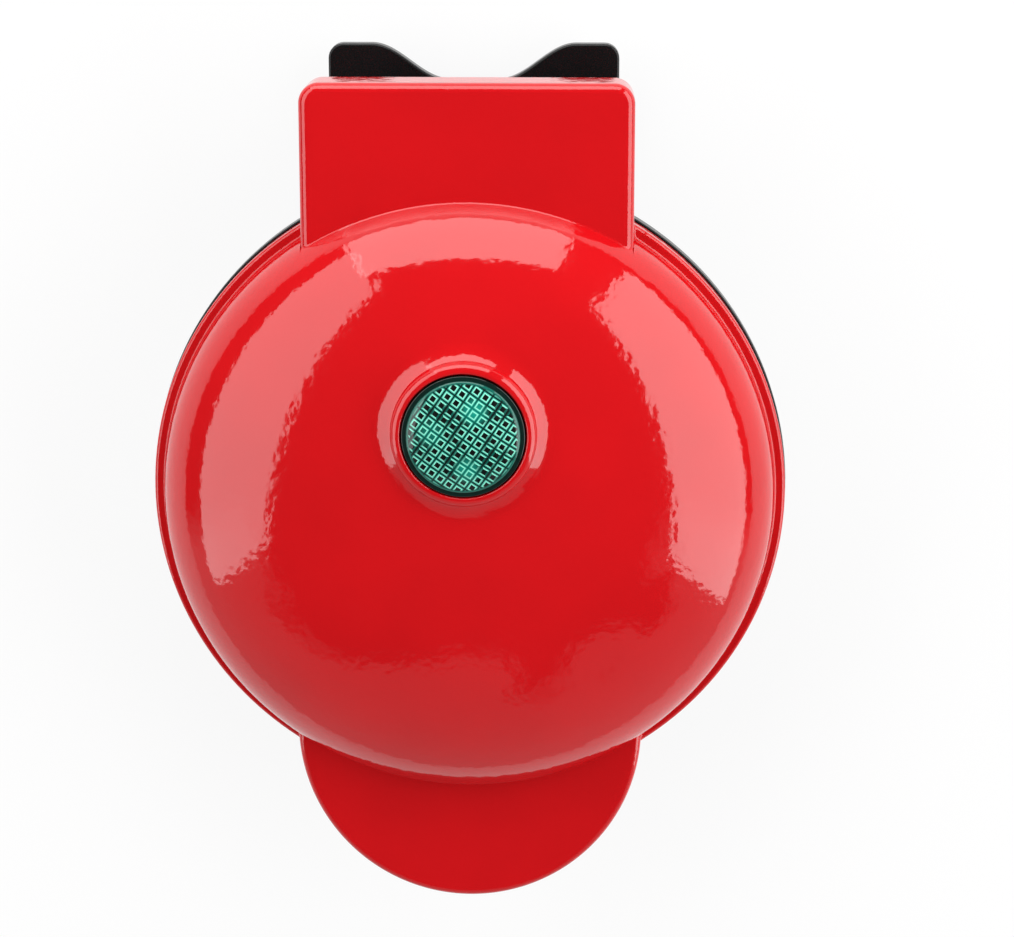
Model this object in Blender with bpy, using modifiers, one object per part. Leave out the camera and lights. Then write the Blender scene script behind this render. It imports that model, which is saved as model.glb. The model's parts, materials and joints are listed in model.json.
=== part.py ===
"""Mini donut maker: a hinged countertop cooker with a domed lid and a bowl-shaped base.

Metres, +Z up. The origin is on the ground under the centre of the disc, the handle points to -Y
and the hinge lies towards +Y. The lid's pieces hang from an empty on the hinge axis.
"""

import math

import bmesh
import bpy
from mathutils import Matrix, Vector

# Clearances
SEAT_GAP = 0.0003  # between pieces that rest on each other
SIDE_GAP = 0.0003  # round a piece that lies in a pocket, or a shaft in its hole
EAR_GAP = 0.0005  # beside a hinge ear
CUT_OVERRUN = 0.003  # how far a cutter runs past the face that it opens
WELD_DISTANCE = 0.000002  # points this close are one

# Overall size
RIM_RADIUS = 0.0635
HANDLE_REACH = 0.0231  # handle's tip, and the cord horns' tips, beyond the rim
FOOT_HEIGHT = 0.003
BASE_DEPTH = 0.0325  # underside of the base to the top of its rim
RIM_GAP = 0.001  # open line between base and lid
FACE_GAP = 0.0006  # between the two baking faces

# Lid cover
LID_WALL = 0.0022
SKIRT_HEIGHT = 0.0043
RIM_FILLET = 0.0008
LEDGE_WIDTH = 0.0023
DOME_RISE = 0.025
DOME_FULLNESS = 2.4  # exponent of the dome's superellipse
BLOCK_HALF_WIDTH = 0.03245
BLOCK_RISE = 0.0075  # hinge block's top above the ledge
BLOCK_CORNER = 0.004
BLOCK_FILLET = 0.0018
BLOCK_SINK = 0.0185  # how far inside the rim the block starts
BLOCK_REACH = 0.0192  # hinge block's rear beyond the rim
TONGUE_HALF_WIDTH = 0.0352
TONGUE_SINK = 0.0135  # how far inside the rim the half ellipse starts
TONGUE_RISE = 0.002  # tongue's top above the ledge
TONGUE_FILLET = 0.0014
TONGUE_ROOT = 0.003  # how far the handle's solid runs into the disc

# Indicator lens and its collar
LENS_TO_RING = 0.0103  # lens's axis in front of the heating element's rear
LENS_RADIUS = 0.0118
LENS_CROWN = 0.0022
COLLAR_RISE = 0.002  # collar's top above the top of the dome
COLLAR_LIP = 0.0014
COLLAR_WIDTH = 0.0048
COLLAR_DROP = 0.0035  # foot of its rounded flank below the top of the dome
COLLAR_DEPTH = 0.0075
RECESS_DEPTH = 0.0027
STEM_RADIUS = 0.0087
STEM_WALL = 0.0018
STEM_LENGTH = 0.0064
LENS_SEAT_RADIUS = 0.0156
LENS_SEAT_DEPTH = 0.0063  # flat inside seat, below the collar's top
RETAINER_THICKNESS = 0.0012
RETAINER_WIDTH = 0.005
HOLDER_RADIUS = 0.0076
LAMP_RADIUS = 0.0028
LAMP_SOCKET_DEPTH = 0.0026
LAMP_LENGTH = 0.0085

# Base housing
BASE_OVERHANG = 0.0004  # base rim outside the lid's rim
BASE_WALL = 0.0022
BASE_RIM_HEIGHT = 0.0045
BASE_LEDGE = 0.0023
BOWL_TURN = 0.0196  # from the bowl's widest place in to its flat bottom
TAB_INSET = 0.0017  # base handle inside the lid's handle, seen from above
TAB_DEPTH = 0.006
NECK_HALF_WIDTH = 0.029
NECK_BEHIND_HINGE = 0.002
SWING_GAP = 0.0005
STOP_GAP = 0.0008

# Liners round the baking plates
LINER_THICKNESS = 0.0018
LINER_WALL = 0.0016
LUG_HALF_WIDTH = 0.0045
LUG_THICKNESS = 0.002
LUG_REACH = 0.0045  # lug inside its screw
CURTAIN_WALL = 0.0014
LEAD_SLOT_HALF_WIDTH = 0.005
LEAD_SLOT_LENGTH = 0.003

# Baking plates
LINER_FACE = 0.0135  # from the rim in to the plate
PLATE_THICKNESS = 0.003
PLATE_EDGE = 0.0005
RING_PLACE_SHARE = 0.4  # of the plate's radius, each ring's centre from both centre lines
RING_WEB = 0.003  # between two rings
POST_RADIUS = 0.006
CAVITY_DEPTH = 0.0075
CAVITY_WALL = 0.0023
BUMP_DEPTH = 0.010
BUMP_EDGE = 0.003
BOSS_RADIUS = 0.004
BOSS_DEPTH = 0.0087
BOSS_INSET = 0.0065  # plate screws inside the plate's edge

# Heating elements and their pans
HEATER_TUBE_RADIUS = 0.003
HEATER_END_X = 0.00494  # each end beside the centre line
HEATER_END_DROP = 0.0067  # ends below the ring's centre line
HEATER_BEND = 0.004
PAN_SHEET = 0.0006
PAN_INSET = 0.0025  # pan's edge inside the plate's
PAN_WELL_GAP = 0.0032  # round the element
PAN_DRAFT = 0.0012
THERMOSTAT_GAP = 0.0013  # to the four bumps
THERMOSTAT_HEIGHT = 0.0078
THERMOSTAT_CAP_SHARE = 0.6  # of its height, the wide metal cap
THERMOSTAT_NECK_SHARE = 0.86  # of its radius, the ceramic foot
BLADE_HALF_GAP = 0.003
BLADE_LENGTH = 0.004
BLADE_WIDTH = 0.003
BLADE_SHEET = 0.0008
PAN_EYE_RADIUS = 0.008

# Hinge
PIN_RADIUS = 0.002
EAR_WALL = 0.0022
HINGE_HEADROOM = 0.0011
HINGE_BACKROOM = 0.004
BASE_EAR_INNER = 0.013
EAR_WIDTH = 0.007
EAR_FOOT_LENGTH = 0.0046
KNUCKLE_FOOT_LENGTH = 0.005
CLIP_SHEET = 0.0007
CLIP_RADIUS = 0.0036
CLIP_MOUTH_SHARE = 0.75
GROOVE_DEPTH = 0.0005
PIN_END = 0.0004
OPEN_ANGLE = math.radians(95)

# Screws
SCREW_RADIUS = 0.0015
HEAD_RADIUS = 0.0025
HEAD_HEIGHT = 0.0018
DRIVE_RADIUS = 0.0013
DRIVE_DEPTH = 0.0009
PLATE_SCREW_GRIP = 0.004
CASE_SCREW_OFFSET = 0.004  # case screws outside the plate's pocket
CASE_BOSS_RADIUS = 0.0038
WELL_WALL = 0.0014
CASE_FLANGE = 0.003
CASE_SCREW_GRIP = 0.006
LID_BOSS_RISE = 0.0055

# Feet, cord-wrap plate, inlet bush and wiring
FOOT_RADIUS = 0.0045
FOOT_INSET = 0.007  # inside the flat of the bowl
FOOT_SOCKET = 0.001
FOOT_EDGE = 0.0006
WRAP_HEIGHT = 0.006
WRAP_THICKNESS = 0.004
WRAP_HALF_WIDTH = 0.0298
WRAP_CORNER = 0.003
SADDLE_DEPTH = 0.0074
HORN_INNER = 0.021  # inner end of a horn's straight tip
SADDLE_HALF_WIDTH = 0.005
WRAP_SCREW_X = 0.016
WRAP_SCREW_INSET = 0.008
WRAP_SCREW_GRIP = 0.007
WRAP_FLANGE = 0.0018
WRAP_BOSS_RADIUS = 0.0035
BUSH_BORE = 0.0041
BUSH_RADIUS = 0.0054
BUSH_FLANGE_RADIUS = 0.0066
BUSH_FLANGE = 0.0016
BUSH_TAIL = 0.0025
FUSE_RADIUS = 0.0022
FUSE_LENGTH = 0.014
FUSE_OFFSET = 0.018
FUSE_CLIP_SHEET = 0.0006
FUSE_CLIP_WIDTH = 0.005
FUSE_CLIP_FOOT = 0.004
TERMINAL_HALF_WIDTH = 0.009
TERMINAL_LENGTH = 0.008
TERMINAL_HEIGHT = 0.007
TERMINAL_STEP = 0.0015
TERMINAL_INSET = 0.0075
LEAD_RADIUS = 0.0009
LEAD_SPACING = 0.003
LEAD_X = 0.0018
LEAD_HINGE_GAP = 0.0055  # leads in front of the hinge axis
LEAD_REST = 0.004  # leads above the floor of the base
LAMP_LEAD_RISE = 0.00015
LAMP_LEAD_BEND = 0.001

# How finely curved shapes are divided
DOME_STEPS = 40
DISC_STEPS = 32
CAVITY_STEPS = 20
RING_STEPS = 20
BUMP_STEPS = 16
SMALL_STEPS = 10
PIN_STEPS = 12
SCREW_STEPS = 8
DOME_POINTS = 9
ARC_POINTS = 6
CORNER_POINTS = 3
CAVITY_POINTS = 6
BEND_POINTS = 2
ROUTE_POINTS = 3
PILLAR_TURN_SHARE = 1 / 3  # of a step, so that no corner of a pillar meets one of a disc
SHARP_ANGLE = math.radians(35)
FLAT_ANGLE = math.radians(1)

# Lengths and levels that follow from the sizes above
HALF_LENGTH = RIM_RADIUS + HANDLE_REACH
BASE_BOTTOM = FOOT_HEIGHT
BASE_RIM_TOP = BASE_BOTTOM + BASE_DEPTH
SKIRT_BOTTOM = BASE_RIM_TOP + RIM_GAP
PARTING = (BASE_RIM_TOP + SKIRT_BOTTOM) / 2
LEDGE = SKIRT_BOTTOM + SKIRT_HEIGHT
DOME_TOP = LEDGE + DOME_RISE
DOME_RADIUS = RIM_RADIUS - LEDGE_WIDTH
BLOCK_TOP = LEDGE + BLOCK_RISE
BLOCK_REAR = RIM_RADIUS + BLOCK_REACH
TONGUE_TOP = LEDGE + TONGUE_RISE
BLOCK_FRONT = RIM_RADIUS - BLOCK_SINK
TONGUE_START = RIM_RADIUS - TONGUE_SINK
TONGUE_REACH = HALF_LENGTH - TONGUE_START
COLLAR_TOP = DOME_TOP + COLLAR_RISE
LENS_TOP = COLLAR_TOP + LENS_CROWN
LENS_FLOOR = COLLAR_TOP - RECESS_DEPTH
LENS_SEAT = COLLAR_TOP - LENS_SEAT_DEPTH

# Places that follow from the sizes above
EAR_RADIUS = PIN_RADIUS + SIDE_GAP + EAR_WALL
HINGE_Z = BLOCK_TOP - LID_WALL - HINGE_HEADROOM - EAR_RADIUS
HINGE_Y = BLOCK_REAR - LID_WALL - HINGE_BACKROOM - EAR_RADIUS
BACK_REACH = BLOCK_REAR - HINGE_Y
SKIRT_DROP = HINGE_Z - SKIRT_BOTTOM
STOP_REACH = BACK_REACH * math.cos(OPEN_ANGLE) - SKIRT_DROP * math.sin(OPEN_ANGLE)
NECK_FACE = HINGE_Y + STOP_REACH - STOP_GAP
NECK_SHELF = HINGE_Z - math.hypot(BACK_REACH, BLOCK_TOP - HINGE_Z) - SWING_GAP
NECK_REAR = HINGE_Y + NECK_BEHIND_HINGE
NECK_BOTTOM = WRAP_HEIGHT + WRAP_THICKNESS + SEAT_GAP
BASE_RIM_RADIUS = RIM_RADIUS + BASE_OVERHANG
BOWL_RADIUS = BASE_RIM_RADIUS - BASE_LEDGE
BOWL_FLAT_RADIUS = BOWL_RADIUS - BOWL_TURN
BOWL_TOP = BASE_RIM_TOP - BASE_RIM_HEIGHT
LINER_SEAT = BASE_RIM_TOP - LINER_THICKNESS - SEAT_GAP
PLATE_RADIUS = RIM_RADIUS - LINER_FACE
POCKET_RADIUS = PLATE_RADIUS + SIDE_GAP
CAVITY_OFFSET = PLATE_RADIUS * RING_PLACE_SHARE
CAVITY_RADIUS = CAVITY_OFFSET - RING_WEB / 2
RING_CIRCLE = math.hypot(CAVITY_OFFSET, CAVITY_OFFSET)
LENS_OFFSET = RING_CIRCLE - LENS_TO_RING
BOSS_CIRCLE = PLATE_RADIUS - BOSS_INSET
PAN_RADIUS = PLATE_RADIUS - PAN_INSET
HEATER_END_REACH = math.hypot(RING_CIRCLE, HEATER_BEND)
HEATER_END_ANGLE = math.asin(HEATER_END_X / HEATER_END_REACH) + math.atan(HEATER_BEND / RING_CIRCLE)
PAN_WELL_RADIUS = RING_CIRCLE + HEATER_TUBE_RADIUS + PAN_WELL_GAP
THERMOSTAT_RADIUS = RING_CIRCLE - CAVITY_RADIUS - CAVITY_WALL - THERMOSTAT_GAP
CASE_SCREW_CIRCLE = POCKET_RADIUS + CASE_SCREW_OFFSET
FOOT_CIRCLE = BOWL_FLAT_RADIUS - FOOT_INSET
LUG_DEPTH = BOSS_DEPTH + SEAT_GAP
PAN_DEPTH = LUG_DEPTH + LUG_THICKNESS + SEAT_GAP
HEATER_DEPTH = BUMP_DEPTH + SEAT_GAP + HEATER_TUBE_RADIUS
PAN_FLOOR = HEATER_DEPTH + HEATER_TUBE_RADIUS + SEAT_GAP
HEATER_END_DEPTH = HEATER_DEPTH + HEATER_END_DROP
PILLAR_END = PARTING - FACE_GAP / 2 - PAN_DEPTH - PAN_SHEET - SEAT_GAP
FUSE_Z = PARTING - FACE_GAP / 2 - PAN_FLOOR - PAN_SHEET - SEAT_GAP - FUSE_RADIUS
KNUCKLE_INNER = BASE_EAR_INNER + EAR_WIDTH + EAR_GAP
KNUCKLE_OUTER = KNUCKLE_INNER + EAR_WIDTH
CLIP_X = KNUCKLE_OUTER + SEAT_GAP
WELL_RADIUS = HEAD_RADIUS + SIDE_GAP
CAP_FRONT = POCKET_RADIUS + LINER_WALL / 2
SLOT_Y = NECK_FACE - BASE_WALL - LEAD_SLOT_LENGTH / 2
LEAD_BEND_Y = HINGE_Y - LEAD_HINGE_GAP
INLET_Z = (NECK_BOTTOM + NECK_SHELF) / 2
WRAP_SEAT = WRAP_HEIGHT + WRAP_THICKNESS - WRAP_FLANGE
TERMINAL_FLOOR = NECK_BOTTOM + BASE_WALL + SEAT_GAP
TERMINAL_TOP = TERMINAL_FLOOR + TERMINAL_HEIGHT
TERMINAL_Y = NECK_REAR - BASE_WALL - TERMINAL_INSET

# Which way a level runs from the parting line
BASE_SIDE = -1
LID_SIDE = 1


def polar(radius, angle, centre=(0, 0)):
    return (centre[0] + radius * math.cos(angle), centre[1] + radius * math.sin(angle))


def quarter_places(radius, first_angle=0):
    """Four places on a circle, a quarter turn apart."""
    return [polar(radius, first_angle + quarter * math.pi / 2) for quarter in range(4)]


# Where the four rings, the feet and the three kinds of screws lie, seen from above
RING_CENTRES = quarter_places(RING_CIRCLE, math.pi / 4)
FOOT_PLACES = quarter_places(FOOT_CIRCLE, math.pi / 4)
CASE_SCREWS = quarter_places(CASE_SCREW_CIRCLE, math.pi / 4)
PLATE_SCREWS = quarter_places(BOSS_CIRCLE)
WRAP_SCREWS = [(side * WRAP_SCREW_X, NECK_REAR - WRAP_SCREW_INSET) for side in (-1, 1)]

# Colours (sRGB hex), roughness and metallic value of each finish
FINISHES = {
    "red_gloss_moulding": ("#CE1A1F", 0.16, 0.0),
    "black_moulding": ("#161516", 0.38, 0.0),
    "nonstick_casting": ("#2B2A2B", 0.5, 0.0),
    "heater_steel": ("#6E6964", 0.42, 1.0),
    "aluminised_sheet": ("#B9BBBD", 0.35, 1.0),
    "zinc_steel": ("#A9ABAE", 0.3, 1.0),
    "green_lens": ("#1F8F78", 0.12, 0.0),
    "lamp_glass": ("#E8B48A", 0.08, 0.0),
    "white_ceramic": ("#E4E1D8", 0.45, 0.0),
    "black_rubber": ("#1B1B1B", 0.75, 0.0),
    "glass_fibre_sleeve": ("#D9D2BE", 0.7, 0.0),
}


def linear(channel):
    """One sRGB channel from 0 to 255 as a linear value."""
    value = channel / 255
    if value <= 0.04045:
        return value / 12.92
    return ((value + 0.055) / 1.055) ** 2.4


def finish(name):
    """The Principled material of one finish, made once."""
    found = bpy.data.materials.get(name)
    if found:
        return found
    hex_colour, roughness, metallic = FINISHES[name]
    channels = bytes.fromhex(hex_colour[1:])
    made = bpy.data.materials.new(name)
    made.use_nodes = True
    shader = made.node_tree.nodes["Principled BSDF"]
    shader.inputs["Base Color"].default_value = (*(linear(value) for value in channels), 1.0)
    shader.inputs["Roughness"].default_value = roughness
    shader.inputs["Metallic"].default_value = metallic
    made.diffuse_color = shader.inputs["Base Color"].default_value
    return made


def clear_scene():
    """Remove every object of the startup scene."""
    for obj in list(bpy.data.objects):
        bpy.data.objects.remove(obj, do_unlink=True)


def new_collection(name):
    made = bpy.data.collections.new(name)
    bpy.context.scene.collection.children.link(made)
    return made


def show_as(obj, look):
    """Make an object a part with a finish, or a hidden cutter when look is None."""
    for old in list(obj.users_collection):
        old.objects.unlink(obj)
    if look is None:
        cutters.objects.link(obj)
        obj.hide_render = True
        obj.display_type = "WIRE"
        return obj
    parts.objects.link(obj)
    obj.data.materials.clear()
    obj.data.materials.append(finish(look))
    return obj


def from_bmesh(name, shape, look):
    """A new object that takes its mesh from a bmesh, with its faces pointing out."""
    bmesh.ops.recalc_face_normals(shape, faces=shape.faces)
    mesh = bpy.data.meshes.new(name)
    shape.to_mesh(mesh)
    shape.free()
    mesh.shade_smooth()
    mesh.set_sharp_from_angle(angle=SHARP_ANGLE)
    return show_as(bpy.data.objects.new(name, mesh), look)


def settle(obj, look):
    """Replace a helper by the mesh that its curve or modifiers make, welded and facing out."""
    bpy.context.scene.collection.objects.link(obj)
    graph = bpy.context.evaluated_depsgraph_get()
    made = bpy.data.meshes.new_from_object(obj.evaluated_get(graph))
    shape = bmesh.new()
    shape.from_mesh(made)
    shape.transform(obj.matrix_world)
    bmesh.ops.remove_doubles(shape, verts=shape.verts, dist=WELD_DISTANCE)
    name = obj.name
    bpy.data.objects.remove(obj, do_unlink=True)
    return from_bmesh(name, shape, look)


def turned(name, profile, look=None, steps=DISC_STEPS, closed=False, centre=(0, 0), axis="Z"):
    """A turned solid: a profile of (radius, distance along the axis) points and a Screw modifier.

    An open profile starts and ends on the axis, and a closed one makes a ring. The axis stands at
    (x, y) = centre, or lies along Y through (x, z) = centre, or along X through (y, z) = centre.
    """
    mesh = bpy.data.meshes.new(name)
    edges = [(i, i + 1) for i in range(len(profile) - 1)]
    if closed:
        edges.append((len(profile) - 1, 0))
    mesh.from_pydata([(radius, 0, along) for radius, along in profile], edges, [])
    obj = bpy.data.objects.new(name, mesh)
    screw = obj.modifiers.new("turn", "SCREW")
    screw.steps = steps
    screw.render_steps = steps
    screw.use_merge_vertices = True
    screw.merge_threshold = WELD_DISTANCE
    if axis == "Z":
        obj.matrix_world = Matrix.Translation((centre[0], centre[1], 0))
    elif axis == "Y":
        lay = Matrix.Rotation(math.radians(-90), 4, "X")
        obj.matrix_world = Matrix.Translation((centre[0], 0, centre[1])) @ lay
    else:
        lay = Matrix.Rotation(math.radians(90), 4, "Y")
        obj.matrix_world = Matrix.Translation((0, centre[0], centre[1])) @ lay
    return settle(obj, look)


def add_box(shape, low, high):
    size = Vector(high) - Vector(low)
    middle = (Vector(high) + Vector(low)) / 2
    matrix = Matrix.Translation(middle) @ Matrix.Diagonal((*size, 1))
    return bmesh.ops.create_cube(shape, size=1, matrix=matrix)["verts"]


def add_pillar(shape, place, radius, low, high, steps):
    middle = Matrix.Translation((place[0], place[1], (low + high) / 2))
    turn = Matrix.Rotation(2 * math.pi / steps * PILLAR_TURN_SHARE, 4, "Z")
    bmesh.ops.create_cone(
        shape, cap_ends=True, segments=steps, radius1=radius, radius2=radius,
        depth=abs(high - low), matrix=middle @ turn,
    )


def box(name, low, high, look=None):
    """A box between two corners."""
    shape = bmesh.new()
    add_box(shape, low, high)
    return from_bmesh(name, shape, look)


def mirrored_boxes(name, low, high, look=None):
    """Two boxes, one on each side of the plane X = 0."""
    shape = bmesh.new()
    add_box(shape, low, high)
    add_box(shape, (-high[0], low[1], low[2]), (-low[0], high[1], high[2]))
    return from_bmesh(name, shape, look)


def pillars(name, places, radius, low, high, look=None, steps=SMALL_STEPS):
    """Upright cylinders of one radius, from low to high, one at each place."""
    shape = bmesh.new()
    for place in places:
        add_pillar(shape, place, radius, low, high, steps)
    return from_bmesh(name, shape, look)


def sheet_solid(name, outline, low, high, look=None, rounding=0, upright=False):
    """A flat outline of (x, y) points given a thickness from low to high by a filled 2D curve.

    Rounding softens its upper and lower edges, inside the outline. An upright one is an outline of
    (x, z) points with its thickness along Y.
    """
    curve = bpy.data.curves.new(name, "CURVE")
    curve.dimensions = "2D"
    curve.fill_mode = "BOTH"
    curve.extrude = (high - low) / 2 - rounding
    curve.bevel_depth = rounding
    curve.bevel_resolution = 1 if rounding else 0
    curve.offset = -rounding
    line = curve.splines.new("POLY")
    line.points.add(len(outline) - 1)
    for point, (x, y) in zip(line.points, outline):
        point.co = (x, y, 0, 1)
    line.use_cyclic_u = True
    obj = bpy.data.objects.new(name, curve)
    obj.matrix_world = Matrix.Translation((0, 0, (low + high) / 2))
    if upright:
        stand = Matrix.Rotation(math.radians(90), 4, "X")
        obj.matrix_world = Matrix.Translation((0, (low + high) / 2, 0)) @ stand
    return settle(obj, look)


def tube(name, points, radius, look, sides_level=1):
    """A round wire or tube with closed ends along a line of points."""
    curve = bpy.data.curves.new(name, "CURVE")
    curve.dimensions = "3D"
    curve.bevel_depth = radius
    curve.bevel_resolution = sides_level
    curve.use_fill_caps = True
    line = curve.splines.new("POLY")
    line.points.add(len(points) - 1)
    for point, place in zip(line.points, points):
        point.co = (*place, 1)
    return settle(bpy.data.objects.new(name, curve), look)


def combine(target, other, operation):
    step = target.modifiers.new(other.name, "BOOLEAN")
    step.operation = operation
    step.solver = "EXACT"
    step.object = other
    return target


def cut(target, *others):
    for other in others:
        combine(target, other, "DIFFERENCE")
    return target


def join(target, *others):
    for other in others:
        combine(target, other, "UNION")
    return target


def arc(centre, radii, start, end, count=ARC_POINTS):
    """Points of an elliptical arc, from one angle to another."""
    points = []
    for step in range(count + 1):
        angle = start + (end - start) * step / count
        points.append((centre[0] + radii[0] * math.cos(angle), centre[1] + radii[1] * math.sin(angle)))
    return points


def smooth_route(places, steps=ROUTE_POINTS):
    """A Catmull-Rom curve through the given places."""
    ends = [places[0], *places, places[-1]]
    route = []
    for before, here, there, after in zip(ends, ends[1:], ends[2:], ends[3:]):
        a, b, c, d = (Vector(place) for place in (before, here, there, after))
        for step in range(steps):
            t = step / steps
            pull = (c - a) * t + (2 * a - 5 * b + 4 * c - d) * t**2 + (3 * b - a - 3 * c + d) * t**3
            route.append(b + pull / 2)
    return [*route, Vector(places[-1])]


def face_level(side, depth=0):
    """Height of a plane this deep behind a baking face."""
    return PARTING + side * (FACE_GAP / 2 + depth)


def rim_level(side, depth=0):
    """Height of a plane this deep behind a liner's visible face."""
    return PARTING + side * (RIM_GAP / 2 + depth)


def dome_profile(wall=0):
    """Superellipse from the top of the axis to the ledge, inside by a wall."""
    radius = DOME_RADIUS - wall
    rise = DOME_RISE - wall
    points = [(0, LEDGE + rise)]
    for step in range(1, DOME_POINTS):
        angle = math.pi / 2 * (1 - step / DOME_POINTS)
        across = math.cos(angle) ** (2 / DOME_FULLNESS)
        up = math.sin(angle) ** (2 / DOME_FULLNESS)
        points.append((radius * across, LEDGE + rise * up))
    return [*points, (radius, LEDGE)]


def bowl_profile(wall):
    """Quarter ellipse of the bowl from its flat bottom up to its ledge, inside by a wall."""
    reach = BOWL_RADIUS - BOWL_FLAT_RADIUS - wall
    depth = BOWL_TOP - BASE_BOTTOM - wall
    return arc((BOWL_FLAT_RADIUS, BOWL_TOP), (reach, depth), -math.pi / 2, 0)


def bowl_radius(height):
    """Outer radius of the bowl at a height."""
    drop = (BOWL_TOP - height) / (BOWL_TOP - BASE_BOTTOM)
    reach = BOWL_RADIUS - BOWL_FLAT_RADIUS
    return BOWL_FLAT_RADIUS + reach * math.sqrt(max(1 - drop**2, 0))


def tongue_outline(inset):
    """Half ellipse of the handle, set in by a wall and closed a little inside the disc."""
    radii = (TONGUE_HALF_WIDTH - inset, TONGUE_REACH - inset)
    edge = arc((0, -TONGUE_START), radii, math.pi, 2 * math.pi, 2 * ARC_POINTS)
    root = TONGUE_ROOT - TONGUE_START
    return [(-radii[0], root), *edge, (radii[0], root)]


def block_outline(inset):
    """Hinge block seen from above, with its two rear corners rounded, set in by a wall."""
    half = BLOCK_HALF_WIDTH - inset
    rear = BLOCK_REAR - inset
    corner = max(BLOCK_CORNER - inset, BLOCK_FILLET)
    right = arc((half - corner, rear - corner), (corner, corner), 0, math.pi / 2, CORNER_POINTS)
    left = [(-x, y) for x, y in reversed(right)]
    return [(-half, BLOCK_FRONT), (half, BLOCK_FRONT), *right, *left]


def lens_collar():
    """The raised ring round the lens, from its flat lip down its flank into the dome."""
    inner = LENS_RADIUS + SIDE_GAP
    flank = arc(
        (inner + COLLAR_LIP, COLLAR_TOP - COLLAR_RISE - COLLAR_DROP),
        (COLLAR_WIDTH - COLLAR_LIP, COLLAR_RISE + COLLAR_DROP),
        math.pi / 2, 0, CORNER_POINTS,
    )
    foot = COLLAR_TOP - COLLAR_DEPTH
    profile = [(0, COLLAR_TOP), *flank, (inner + COLLAR_WIDTH, foot), (0, foot)]
    return turned("collar_outside", profile, centre=(0, LENS_OFFSET))


def lid_cover():
    """One red moulding: dome, rim, hinge block, handle and lens collar, with a wall of one thickness."""
    foot = SKIRT_BOTTOM - CUT_OVERRUN
    profile = dome_profile() + [
        (RIM_RADIUS - RIM_FILLET, LEDGE),
        (RIM_RADIUS, LEDGE - RIM_FILLET),
        (RIM_RADIUS, foot),
        (0, foot),
    ]
    cover = turned("lid_cover", profile, "red_gloss_moulding", DOME_STEPS)
    block = sheet_solid("block_outside", block_outline(0), foot, BLOCK_TOP, rounding=BLOCK_FILLET)
    handle = sheet_solid("handle_outside", tongue_outline(0), foot, TONGUE_TOP, rounding=TONGUE_FILLET)
    join(cover, block, handle, lens_collar())

    ledge_under = LEDGE - LID_WALL
    below = foot - CUT_OVERRUN
    hollow = turned("dome_inside", dome_profile(LID_WALL) + [
        (DOME_RADIUS - LID_WALL, ledge_under),
        (RIM_RADIUS - LID_WALL, ledge_under),
        (RIM_RADIUS - LID_WALL, below),
        (0, below),
    ], steps=DOME_STEPS)
    boss_foot = SKIRT_BOTTOM + LID_BOSS_RISE + SEAT_GAP
    kept_bosses = pillars("lid_bosses", CASE_SCREWS, CASE_BOSS_RADIUS, boss_foot, DOME_TOP)
    lens_axis = [(0, LENS_OFFSET)]
    kept_seat = pillars("lens_seat", lens_axis, LENS_SEAT_RADIUS, LENS_SEAT, DOME_TOP, steps=RING_STEPS)
    cut(hollow, kept_bosses, kept_seat)
    block_hollow = sheet_solid("block_inside", block_outline(LID_WALL), below, BLOCK_TOP - LID_WALL)
    handle_hollow = sheet_solid("handle_inside", tongue_outline(LID_WALL), below, TONGUE_TOP - LID_WALL)
    cut(cover, hollow, block_hollow, handle_hollow)

    reach = 2 * HALF_LENGTH
    trim = box("below_lid", (-reach, -reach, below), (reach, reach, SKIRT_BOTTOM))
    pilot_end = boss_foot + CASE_SCREW_GRIP
    pilots = pillars(
        "lid_pilots", CASE_SCREWS, SCREW_RADIUS + SIDE_GAP, boss_foot - CUT_OVERRUN, pilot_end,
    )
    recess_top = COLLAR_TOP + CUT_OVERRUN
    recess = pillars(
        "lens_recess", lens_axis, LENS_RADIUS + SIDE_GAP, LENS_FLOOR, recess_top, steps=DISC_STEPS,
    )
    stem_hole = pillars(
        "stem_hole", lens_axis, STEM_RADIUS + SIDE_GAP, LENS_SEAT - CUT_OVERRUN, recess_top,
        steps=RING_STEPS,
    )
    return cut(cover, trim, pilots, recess, stem_hole)


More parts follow.
